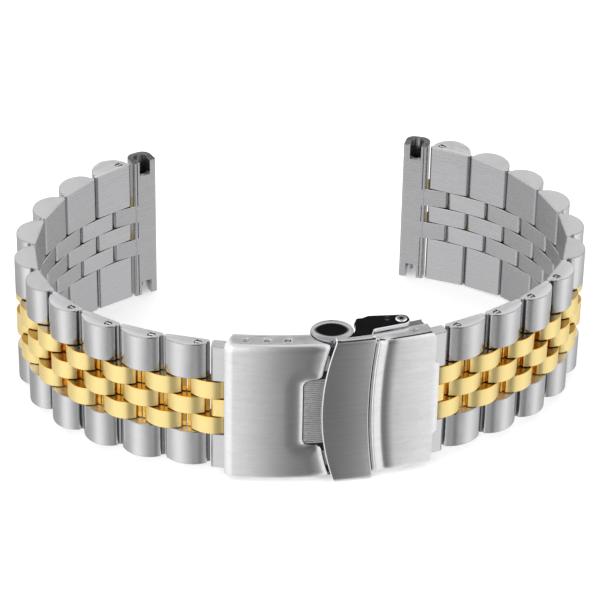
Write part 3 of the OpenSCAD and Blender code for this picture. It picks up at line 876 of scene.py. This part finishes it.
def sheet_piece(name, rows, ends, shape, stops, thick, materials, mark=None):
    """Sheet over the clasp's curve: rows across the width, stops from 0 to 1 along it

    ends(z, depth) gives its left and right end, shape(x, z, depth) how far it is pressed in,
    and mark(stop) the number of its material.
    """
    solid = Solid()
    grid = []
    for z, d, nz, nd in rows:
        x0, x1 = ends(z, d)
        line = []
        for t in stops:
            x = lerp(x0, x1, t)
            lift = shape(x, z, d)
            line.append(on_arc(x, d + lift * -nd, z - lift * nz))
        grid.append(solid.add(line))
    for a, b in zip(grid, grid[1:]):
        marks = [mark(i) for i in range(len(stops))] if mark else 0
        solid.band(a, b, marks, closed=False)
    piece = solid.build(name, materials, sharp=60)
    # the sheet's outer face looks away from the wrist
    mesh = piece.data
    middle = mesh.polygons[len(mesh.polygons) // 2]
    if middle.normal.y > 0:
        mesh.flip_normals()
    solidify = piece.modifiers.new("Sheet", "SOLIDIFY")
    solidify.thickness = thick
    solidify.offset = -1
    solidify.use_even_offset = True
    settle(piece)
    return piece


def ease(t):
    """Smooth step from 0 to 1"""
    t = min(1, max(0, t))
    return t * t * (3 - 2 * t)


def from_slopes(slopes):
    """Depth of a pressed sheet against the distance from its edge, from its slope in degrees there"""
    end = slopes[-1][0]
    places = spread(0, end, 97)
    step = places[1]

    def tangent(s):
        for (a, low), (b, high) in zip(slopes, slopes[1:]):
            if s <= b:
                return math.tan(math.radians(lerp(low, high, (s - a) / (b - a))))
        return 0.0

    depths = [0.0]
    for s in reversed(places[:-1]):
        depths.insert(0, depths[0] + tangent(s + step / 2) * step)

    def depth(s):
        if s >= end:
            return 0.0
        i = min(len(places) - 2, int(max(0, s) / step))
        return lerp(depths[i], depths[i + 1], (max(0, s) - places[i]) / step) * MM

    return depth


def recess_edge():
    """Half of the hood's right edge beside the latch as (x, z), from mid width outwards"""
    c = clasp_sizes()
    left, top, half = -c.recess, c.recess_height / 2, c.hood_width / 2
    turn, start = top + 0.3 * MM, top + 1.3 * MM

    def beside(z):
        return latch_edges(z)[0] - c.edge_gap

    corners = [(left, 0), (left, top), (beside(turn), turn), (beside(start), start)]
    path = [corners[0]]
    for i, r in ((1, 0.8 * MM), (2, 0.85 * MM)):
        a, h, n = (Vector(corners[k]) for k in (i - 1, i, i + 1))
        first, last = h + (a - h).normalized() * r, h + (n - h).normalized() * r
        for t in spread(0, 1, 9):
            path.append(tuple(first * (1 - t) ** 2 + h * 2 * t * (1 - t) + last * t * t))
    return path + [(beside(z), z) for z in spread(start, half, 22)]


def paint_edges(obj, width, corner, lined):
    """Gives a sheet's side walls the clasp side, and paints their line beside the face (where lined) and its cut
    edges with the near-black steel as painted shade
    """
    curve = clasp_sizes().curve
    middle = Vector((0, FACE_Y + curve, 0))
    for poly in obj.data.polygons:
        x, y, z = poly.center
        depth = curve - (Vector((x, y, 0)) - middle).length
        if abs(poly.normal.z) > 0.8:
            near_face = depth < corner + 0.12 * MM and abs(z - MID_Z) > width / 2 - 0.1 * MM
            poly.material_index = 2 if near_face and lined else 1
        elif abs(poly.normal.x) > 0.85 and abs(x) < 7 * MM:
            poly.material_index = 2


def make_hood():
    """Sheet whose edge rolls down beside the recess and the latch"""
    c = clasp_sizes()
    edge = recess_edge()
    corner_z, corner_d = 1.05 * MM, 0.75 * MM
    end_start, end_run, end_drop = -12.75 * MM, 1.1 * MM, 0.42 * MM

    def edge_x(z):
        z = abs(z)
        for (xa, za), (xb, zb) in zip(edge, edge[1:]):
            if za <= z <= zb:
                return lerp(xa, xb, (z - za) / (zb - za) if zb > za else 0)
        return edge[-1][0]

    ends_of_segments = [(Vector(a), Vector(b)) for a, b in zip(edge, edge[1:])]
    segments = [(a, b) for a, b in ends_of_segments if (a - b).length > 1e-7]

    def away(x, z):
        """Distance from the edge"""
        p = Vector((x, abs(z)))
        best = 5 * MM
        for a, b in segments:
            run = b - a
            t = min(1, max(0, (p - a).dot(run) / run.length_squared))
            best = min(best, (a + run * t - p).length)
        return best

    roll = from_slopes(((0, 24), (0.3, 20), (0.55, 12), (0.8, 7.5), (1.2, 5.5), (1.6, 4), (2.1, 2),
                        (2.7, 0)))

    def ends(z, d):
        slant = math.tan(math.radians(c.hood_slant)) * max(0, d - corner_d)
        return -c.hood_left + slant, edge_x(z)

    def shape(x, z, d):
        left = end_drop * max(0, (end_start - x) / end_run) ** 2
        if d > corner_d:
            return left * 0.4
        return left + roll(away(x, z) / MM)

    rows = section(c.hood_width, c.hood_depth, corner_z, corner_d, 70)
    # more stops where the edge turns into the recess
    stops = spread(0, 0.12, 14)[:-1] + spread(0.12, 0.64, 14)[:-1] + spread(0.64, 1, 48)
    materials = finish_list("clasp face", "clasp side", "shadowed steel")
    hood = sheet_piece("hood_shell", rows, ends, shape, stops, c.sheet, materials)
    cutters = []
    for i in range(3):
        p = on_arc(i * SEAT_STEP - SEAT_PLACE, SEAT_DEPTH)
        cutters += side_holes("hole", circle(p.x, p.y, 0.46 * MM, 20), c.hood_width, WALL_REACH, materials)
    b = cap_at()
    slot = [(b.x - c.button - 1.2 * MM, b.y), (b.x, b.y - 0.2 * MM), (b.x, b.y + 0.2 * MM)]
    room = circle(b.x, b.y, c.button + 0.1 * MM, 48)
    for outline in (room, slot):
        cutters += side_holes("button hole", outline, c.hood_width, 0.8 * MM, materials)
    carve(hood, cutters)
    rounded_edges(hood, 0.06 * MM, 45)
    paint_edges(hood, c.hood_width, corner_d, False)
    # the face along the edge beside the latch gets the near-black steel as painted shade
    for poly in hood.data.polygons:
        if poly.normal.y < -0.5 and away(poly.center.x, poly.center.z - MID_Z) < 0.1 * MM:
            poly.material_index = 2
    own(hood, "hood", "clasp_steel", "hood")


def make_pad():
    """Ribs on the thumb pad under the hood's recess, and a lining under the gap beside the latch"""
    c = clasp_sizes()
    depth, sheet = c.sheet + 0.1 * MM, 0.04 * MM
    rib, tall, ribs = 0.3 * MM, 0.12 * MM, 16
    solid = Solid()
    levels = [(-(ribs + 0.5) * rib - 0.3 * MM, 0.0)]
    for i in range(-ribs, ribs + 1):
        z = (i - 0.5) * rib
        levels += [(z, 0.0), (z + rib * 0.2, -tall), (z + rib * 0.6, -tall), (z + rib * 0.8, 0.0)]
    levels += [(levels[-1][0] + 0.4 * MM, 0.0)]
    far = c.hood_width / 2 - c.sheet - 0.1 * MM
    levels = [(-far, 0.0)] + levels + [(far, 0.0)]
    xs = [-3.75, -3.45, -3.35, -2.8, -2.1, -1.4, -0.9, 0.9]
    tops, under = [], []
    for z, rise in levels:
        tops.append(solid.add([on_arc(x * MM, depth + (rise if -3.4 < x < -1 else 0), z) for x in xs]))
        under.append(solid.add([on_arc(x * MM, depth + sheet, z) for x in xs]))
    for i, (a, b) in enumerate(zip(tops, tops[1:])):
        # the flats between the ribs get the near-black steel as painted shade
        groove = levels[i][1] == 0.0 and levels[i + 1][1] == 0.0
        solid.band(a, b, 1 if groove else 0, closed=False)
    for a, b in zip(under, under[1:]):
        solid.band(a, b, closed=False)
    for side in (0, -1):
        solid.band([r[side] for r in tops], [r[side] for r in under], closed=False)
        solid.band(tops[side], under[side], closed=False)
    pad = solid.build("thumb_pad_ribs", finish_list("clasp side", "shadowed steel"), sharp=25)
    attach(pad, "hood")


def make_cover():
    """End cover: bead and groove along its left edge, tongue at its right end"""
    c = clasp_sizes()
    drop, half = 0.15 * MM, c.cover_width / 2
    corner_z, corner_d, face_end = 0.7 * MM, 0.5 * MM, 0.8 * MM
    bead = from_slopes(((0, 0), (0.3, 0), (0.34, -45), (0.42, -40), (0.48, 6), (0.75, 14), (1.25, 15),
                        (1.5, 3), (1.65, -4), (1.95, -9), (2.3, -5.5), (2.8, -2), (3.2, 0)))

    def left(z):
        return c.cover_left + c.cover_bow * (z / half) ** 2

    def right(z):
        z = abs(z)
        step = ease((z - (c.tongue_height / 2 - 0.25 * MM)) / (0.5 * MM))
        corner = max(0, z - (half - 0.9 * MM)) / (0.9 * MM)
        return c.cover_right + c.tongue * (1 - step) - 0.45 * MM * corner ** 2

    def ends(z, d):
        return left(z), (c.cover_right - 0.3 * MM if d > face_end else right(z))

    def shape(x, z, d):
        if d > face_end:
            return 0.0
        end = 0.12 * MM * ease((x / MM - 13.6) / 0.6)
        return end - bead((x - left(z)) / MM)

    rows = section(c.cover_width, 2.6 * MM, corner_z, corner_d, 60, drop)
    stops = spread(0, 0.24, 40)[:-1] + spread(0.24, 0.42, 14)[:-1] + spread(0.42, 0.94, 14)[:-1]
    stops += spread(0.94, 1, 6)
    materials = finish_list("clasp face", "clasp side", "shadowed steel")
    cover = sheet_piece("end_cover_shell", rows, ends, shape, stops, c.sheet, materials)
    p = on_arc(SEAT_PLACE, SEAT_DEPTH)
    carve(cover, side_holes("hole", circle(p.x, p.y, 0.43 * MM, 20), c.cover_width, WALL_REACH, materials))
    rounded_edges(cover, 0.06 * MM, 45)
    paint_edges(cover, c.cover_width, drop + corner_d, True)
    own(cover, "clasp_base", "clasp_steel", "end_cover")


def make_latch_band():
    """Curved band across the clasp with bright edges"""
    c = clasp_sizes()
    edge = 0.13 * MM

    def shape(x, z, d):
        a, b = latch_edges(z)
        return max(0.0, edge - min(x - a, b - x)) * 0.9

    rows = section(c.latch_width, 1.05 * MM, 0.55 * MM, 0.55 * MM, 60, -LATCH_RISE, 4)
    share = edge / (c.latch_right - c.latch_left)
    stops = [0, share * 0.5, share] + spread(share, 1 - share, 12)[1:-1] + [1 - share, 1 - share * 0.5, 1]
    # the latch face is darkened as a painted reflection, and index 2 is near-black painted shade
    materials = finish_list("reflection-darkened latch face", "clasp side", "shadowed steel", "bright edge")
    last = len(stops) - 1
    band = sheet_piece("safety_latch_band", rows, lambda z, d: latch_edges(z), shape, stops, c.sheet * 0.9,
                       materials, lambda i: 3 if i < 2 or i >= last - 2 else 0)
    # side walls of the band: the inner ones get the near-black steel as painted shade, the outer ones the clasp
    # side
    for poly in band.data.polygons:
        if abs(poly.normal.z) > 0.75:
            inner = abs(poly.center.z - MID_Z) < c.latch_width / 2 - 0.02 * MM
            poly.material_index = 2 if inner else 1
    tidy_normals(band, 40)
    weigh_normals(band)
    own(band, "safety_latch", "clasp_steel", "safety_latch")


def make_latch():
    """Latch band, its two riveted arms and the pin that it turns on"""
    make_latch_band()
    c = clasp_sizes()
    p = JOINTS["latch_turn"]
    half = c.latch_width / 2
    # outline of an arm as (x, depth, radius) in mm: its first corner stays, the others follow the pivot
    corners = [(1.7, 0.75, 0.1), (1.7, 1.5, 0.2), (1.9, 2.9, 0.5), (3.75, 4.1, 0.4), (4.25, 5.25, 0.3),
               (5.1, 5.35, 0.3), (5.9, 5.75, 0.5), (11.0, 5.5, 1.0), (11.2, 3.5, 1.0), (6.2, 2.45, 0.6),
               (5.7, 1.1, 0.1)]
    arm = rounded_outline([(x * MM + (p.x - PIVOT_LEAD if i else 0), FACE_Y + y * MM, r * MM)
                           for i, (x, y, r) in enumerate(corners)])
    polished = finish("polished steel")
    b = cap_at()
    r, top = 0.75 * MM, half + 0.12 * MM
    head = [(0, top - 0.2 * MM), (r * 0.35, top - 0.2 * MM), (r * 0.45, top), (r * 0.85, top),
            (r, top - 0.1 * MM), (r, top - 0.4 * MM), (0, top - 0.4 * MM)]
    rivet_place = Matrix.Translation((p.x + 1.8 * MM, FACE_Y + 4.5 * MM, MID_Z))
    for label, flip in (("top", 1), ("bottom", -1)):
        z0, z1 = sorted((MID_Z + flip * (half - c.sheet), MID_Z + flip * half))
        # the arm's flat faces take the polish darkened as a painted dark reflection
        piece = prism(f"safety_latch_arm_{label}", arm, z0, z1, [polished, finish("reflection-darkened polish")],
                      bevel=0.12 * MM, cap_mark=1)
        room = circle(b.x, b.y, c.button + 0.2 * MM, 48)
        carve(piece, [prism("cap room", room, z0 - MM, z1 + MM, [polished])])
        tidy_normals(piece, 40)
        weigh_normals(piece)
        own(piece, "safety_latch", "clasp_steel", "safety_latch")
        # the rivet's sunk centre gets the near-black steel as painted shade
        rivet = turned(f"safety_latch_rivet_{label}", head, finish_list("bright edge", "shadowed steel"),
                       rivet_place @ Matrix.Diagonal((1, 1, flip, 1)), 24, [1, 1, 0, 0, 0, 0])
        own(weigh_normals(rivet), "safety_latch", "clasp_steel", "safety_latch")
    soft, neck, full = 0.18 * MM, 0.45 * MM, 0.6 * MM
    profile = [(0, -half - 0.05 * MM), (neck, -half), (full, -half + soft), (full, half - soft),
               (neck, half), (0, half + 0.05 * MM)]
    pin = turned("latch_pin_turned", profile, [polished], Matrix.Translation((p.x, p.y, MID_Z)), 32)
    own(pin, "clasp_base", "pin_steel", "latch_pin")


def make_buttons():
    """Polished oval caps on guided stems"""
    c = clasp_sizes()
    r = c.button
    oval = Matrix.Diagonal((1, 0.9, 1, 1))
    for label, flip in (("top", 1), ("bottom", -1)):
        body = f"push_button_{label}"
        low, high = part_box(f"push_button_{label}")
        top = max(abs(high.z - MID_Z), abs(low.z - MID_Z)) + 0.2 * MM
        turn = Matrix.Diagonal((1, 1, flip, 1))
        # crown with a groove inside its rim, as (radius, drop)
        crown = [(0, 0), (r * 0.5, 0.02), (r * 0.88, 0.07), (r * 0.92, 0.13), (r * 0.94, 0.09),
                 (r * 0.98, 0.12), (r, 0.24), (r, 0.5), (r - 0.1 * MM, 0.6), (0, 0.6)]
        # the crown takes the polish darkened as a painted dark reflection, the rim the side steel darkened as
        # painted shade
        cap = turned(f"{body}_cap", [(x, top - drop * MM) for x, drop in crown],
                     finish_list("reflection-darkened polish", "shaded polished side"),
                     Matrix.Translation(cap_at()) @ oval @ turn, 56, [0] * 4 + [1] * 5)
        own(weigh_normals(cap), body, "polished_steel", body)
        stem = [(0, top - 0.5 * MM), (0.85 * MM, top - 0.5 * MM), (0.85 * MM, 5.8 * MM),
                (1.2 * MM, 5.8 * MM), (1.2 * MM, 5.4 * MM), (1.1 * MM, 5.3 * MM), (0, 5.3 * MM)]
        shaft = turned(f"{body}_stem", stem, finish_list("pin steel"),
                       Matrix.Translation(button_at()) @ turn, 32)
        own(weigh_normals(shaft), body, "polished_steel", body)


def dress_nodes():
    """Finishes of the CAD solids that stay in view"""
    nodes = {
        "clasp side": ("thumb_pad",),
        "blade steel": ("button_housing", "outer_blade", "inner_blade"),
        "pin steel": ("near_fold_pin", "far_fold_pin", "spring_bar", "end_pin", "button_spring_top",
                      "button_spring_bottom"),
    }
    for kind, names in nodes.items():
        for name in names:
            mesh = frame["nodes"][name].data
            mesh.materials.clear()
            mesh.materials.append(finish(kind))


# stage


# The tent as mirrored by the metal: angles in degrees round the object from the front,
# heights as the sine of the angle above the horizon, levels with 1 as white
TENT_MIDDLE = 7            # direction of the dark opening
OPENING = (5, 27, 0.05, 1.28)      # edges of the opening and the levels inside and beside it
BEHIND = (75, 125, 1.0, 0.72)      # the walls grow greyer towards the back, below the high part
HIGH = (0.05, 0.35, 0.0, 1.0)      # heights where the high part begins
ROOF = (0.66, 0.9, 1.0, 0.62)      # and where the roof does, with the level that it falls to
HORIZON = (-0.05, 0.2, 0.8)        # height, width and depth of the dark line of the horizon
HORIZON_SIDE = (8, 24)             # its direction and width
PATCH = (0.129, 0.835, 0.534)      # direction of the dark patch over the clasp's end faces
PATCH_EDGE = (0.955, 0.985, 1.15, 0.02)    # cosines of its edges and the levels beside and inside it
TABLE = (-0.555, 0.085)            # height and width of the table's band
TABLE_LEVEL = 0.36
# bright and dark parts of the table as (direction, width, level added)
TABLE_PARTS = ((-58, 24, 0.55), (69, 22, 0.45), (105, 30, 0.14), (-18, 14, -0.2),
               (3, 8, 0.3), (17, 8, -0.16), (36, 13, -0.22))


def studio_world():
    """White light tent whose openings show only in reflections"""
    world = bpy.data.worlds.new("Light Tent")
    bpy.context.scene.world = world
    world.use_nodes = True
    tree = world.node_tree
    tree.nodes.clear()
    link = tree.links.new
    out = add_node(tree, "ShaderNodeOutputWorld", (1200, 0))
    back = add_node(tree, "ShaderNodeBackground", (1000, 0), inputs={"Strength": 1.0})
    link(back.outputs[0], out.inputs[0])
    where = add_node(tree, "ShaderNodeTexCoord", (-1200, 0))
    split = add_node(tree, "ShaderNodeSeparateXYZ", (-1000, 0))
    link(where.outputs["Generated"], split.inputs[0])

    def feed(made, sockets, values):
        for socket, value in zip(sockets, values):
            if isinstance(value, (int, float)):
                made.inputs[socket].default_value = value
            else:
                link(value, made.inputs[socket])
        return made.outputs[0]

    def maths(operation, *values):
        made = add_node(tree, "ShaderNodeMath", (0, 0), {"operation": operation})
        return feed(made, (0, 1), values)

    def blend(share, a, b):
        made = add_node(tree, "ShaderNodeMix", (0, 0), {"data_type": "FLOAT"})
        return feed(made, (0, 2, 3), (share, a, b))

    def ramp(value, start, stop, low, high):
        made = add_node(tree, "ShaderNodeMapRange", (0, 0), {"interpolation_type": "SMOOTHSTEP"})
        return feed(made, ("Value", "From Min", "From Max", "To Min", "To Max"),
                    (value, start, stop, low, high))

    def bell(value, centre, width, height):
        shifted = maths("DIVIDE", maths("SUBTRACT", value, centre), width)
        squared = maths("MULTIPLY", maths("MULTIPLY", shifted, shifted), -1)
        return maths("MULTIPLY", maths("EXPONENT", squared), height)

    around = maths("ARCTAN2", split.outputs["X"], maths("MULTIPLY", split.outputs["Y"], -1))
    height = split.outputs["Z"]
    high = ramp(height, *HIGH)
    aside = maths("ABSOLUTE", maths("SUBTRACT", around, math.radians(TENT_MIDDLE)))
    opening = ramp(aside, *map(math.radians, OPENING[:2]), *OPENING[2:])
    centre, width = map(math.radians, HORIZON_SIDE)
    horizon = maths("MULTIPLY", bell(height, *HORIZON), bell(around, centre, width, 1.0))
    walls = maths("MULTIPLY", opening, maths("SUBTRACT", 1.0, horizon))
    behind = ramp(aside, *map(math.radians, BEHIND[:2]), *BEHIND[2:])
    walls = maths("MULTIPLY", walls, blend(high, behind, 1.0))
    table = TABLE_LEVEL
    for centre, width, added in TABLE_PARTS:
        table = maths("ADD", bell(around, math.radians(centre), math.radians(width), added), table)
    level = blend(bell(height, *TABLE, 1.0), walls, table)
    aim = add_node(tree, "ShaderNodeVectorMath", (-800, -400), {"operation": "DOT_PRODUCT"})
    link(where.outputs["Generated"], aim.inputs[0])
    aim.inputs[1].default_value = PATCH
    patch = ramp(aim.outputs["Value"], *PATCH_EDGE)
    level = maths("MULTIPLY", level, blend(high, 1.0, patch))
    level = maths("MULTIPLY", level, ramp(height, *ROOF))
    rays = add_node(tree, "ShaderNodeLightPath", (600, 400))
    link(blend(rays.outputs["Is Glossy Ray"], 1.0, level), back.inputs["Color"])


def make_floor():
    """Pale floor that keeps the object's shadow and isn't mirrored"""
    floor = Solid()
    floor.face(floor.add([(x, y, 0) for x, y in circle(0, 0, 2.0, 64)]))
    material = bpy.data.materials.new("Pale Floor")
    material.use_nodes = True
    surface = material.node_tree.nodes["Principled BSDF"]
    settings = {"Base Color": (0.97, 0.97, 0.97, 1), "Roughness": 1.0, "Specular IOR Level": 0.0,
                "Emission Color": (1, 1, 1, 1), "Emission Strength": 0.3}
    for socket, value in settings.items():
        surface.inputs[socket].default_value = value
    piece = floor.build("pale_floor", [material])
    piece.visible_glossy = False


def make_lamp():
    """Large soft lamp above the left, aimed at the object"""
    lamp = bpy.data.lights.new("Soft Window", "AREA")
    lamp.shape = "RECTANGLE"
    lamp.size, lamp.size_y = 0.5, 0.35
    lamp.energy = 0.6
    window = bpy.data.objects.new("Soft Window", lamp)
    bpy.context.scene.collection.objects.link(window)
    window.location = (-0.35, -0.3, 0.45)
    aim = Vector((0.35, 0.3, -0.44))
    window.rotation_euler = aim.to_track_quat("-Z", "Y").to_euler()


def make_camera():
    """Camera at the photograph's viewing angle"""
    camera = bpy.data.cameras.new("Photo Camera")
    camera.sensor_width = 36.0
    camera.lens = 169.54
    camera.clip_start = 0.01
    viewer = bpy.data.objects.new("Photo Camera", camera)
    bpy.context.scene.collection.objects.link(viewer)
    viewer.location = (-0.049941, -0.320732, 0.21709)
    viewer.rotation_euler = [math.radians(a) for a in (57.7005, -0.8912, -8.2025)]
    bpy.context.scene.camera = viewer


def make_stage():
    """Light, floor and camera"""
    studio_world()
    make_floor()
    make_lamp()
    make_camera()
    bpy.context.scene.view_settings.view_transform = "Standard"


# operators, panel, main


class BRACELET_OT_stage(bpy.types.Operator):
    """Floor, light and camera"""
    bl_idname = "bracelet.stage"
    bl_label = "Stage"

    def execute(self, context):
        make_stage()
        return {"FINISHED"}


class BRACELET_OT_rows(bpy.types.Operator):
    """Outer links, centre links and pins of every row"""
    bl_idname = "bracelet.rows"
    bl_label = "Rows"

    def execute(self, context):
        for side in ("left", "right"):
            for row in range(1, ROWS + 1):
                make_row(side, row)
        return {"FINISHED"}


class BRACELET_OT_joiners(bpy.types.Operator):
    """Gold links between the rows"""
    bl_idname = "bracelet.joiners"
    bl_label = "Side Links"

    def execute(self, context):
        for side in ("left", "right"):
            for row in range(1, ROWS):
                make_joiner(side, row)
        return {"FINISHED"}


class BRACELET_OT_end_bars(bpy.types.Operator):
    """Folded end bars for the watch's spring bars"""
    bl_idname = "bracelet.end_bars"
    bl_label = "End Bars"

    def execute(self, context):
        for side in ("left", "right"):
            make_end_bar(side)
        return {"FINISHED"}


class BRACELET_OT_hood(bpy.types.Operator):
    """Hood with its rolled edge, recess and ribbed pad"""
    bl_idname = "bracelet.hood"
    bl_label = "Hood"

    def execute(self, context):
        make_hood()
        make_pad()
        return {"FINISHED"}


class BRACELET_OT_cover(bpy.types.Operator):
    """Cover over the right end of the clasp"""
    bl_idname = "bracelet.cover"
    bl_label = "End Cover"

    def execute(self, context):
        make_cover()
        return {"FINISHED"}


class BRACELET_OT_latch(bpy.types.Operator):
    """Safety latch with its arms and pivot"""
    bl_idname = "bracelet.latch"
    bl_label = "Safety Latch"

    def execute(self, context):
        make_latch()
        return {"FINISHED"}


class BRACELET_OT_buttons(bpy.types.Operator):
    """Push buttons, and the finishes of the solids that stay in view"""
    bl_idname = "bracelet.buttons"
    bl_label = "Buttons and Fold"

    def execute(self, context):
        make_buttons()
        dress_nodes()
        return {"FINISHED"}


OPERATORS = (BRACELET_OT_stage, BRACELET_OT_rows, BRACELET_OT_joiners, BRACELET_OT_end_bars,
             BRACELET_OT_hood, BRACELET_OT_cover, BRACELET_OT_latch, BRACELET_OT_buttons)
GROUPS = {"bracelet_links": LinkSizes, "bracelet_bar": BarSizes, "bracelet_clasp": ClaspSizes,
          "bracelet_finish": FinishColours}


class BRACELET_PT_panel(bpy.types.Panel):
    """Builds the bracelet piece by piece"""
    bl_idname = "BRACELET_PT_panel"
    bl_label = "Watch Bracelet"
    bl_space_type = "VIEW_3D"
    bl_region_type = "UI"
    bl_category = "Bracelet"

    def draw(self, context):
        for operator in OPERATORS:
            self.layout.operator(operator.bl_idname)
        for name, group in GROUPS.items():
            box = self.layout.box()
            for key in group.__annotations__:
                box.prop(getattr(context.scene, name), key)


def register():
    """Registers the classes and hangs the sizes on the scene"""
    for item in (*GROUPS.values(), *OPERATORS, BRACELET_PT_panel):
        bpy.utils.register_class(item)
    for name, group in GROUPS.items():
        setattr(bpy.types.Scene, name, PointerProperty(type=group))


def unregister():
    """Takes the sizes and the classes away again"""
    for name in GROUPS:
        delattr(bpy.types.Scene, name)
    for item in reversed((*GROUPS.values(), *OPERATORS, BRACELET_PT_panel)):
        bpy.utils.unregister_class(item)


def main():
    """Builds the whole bracelet"""
    register()
    for name in ("stage", "rows", "joiners", "end_bars", "hood", "cover", "latch", "buttons"):
        getattr(bpy.ops.bracelet, name)()
    bpy.context.view_layer.update()


if __name__ == "__main__":
    main()
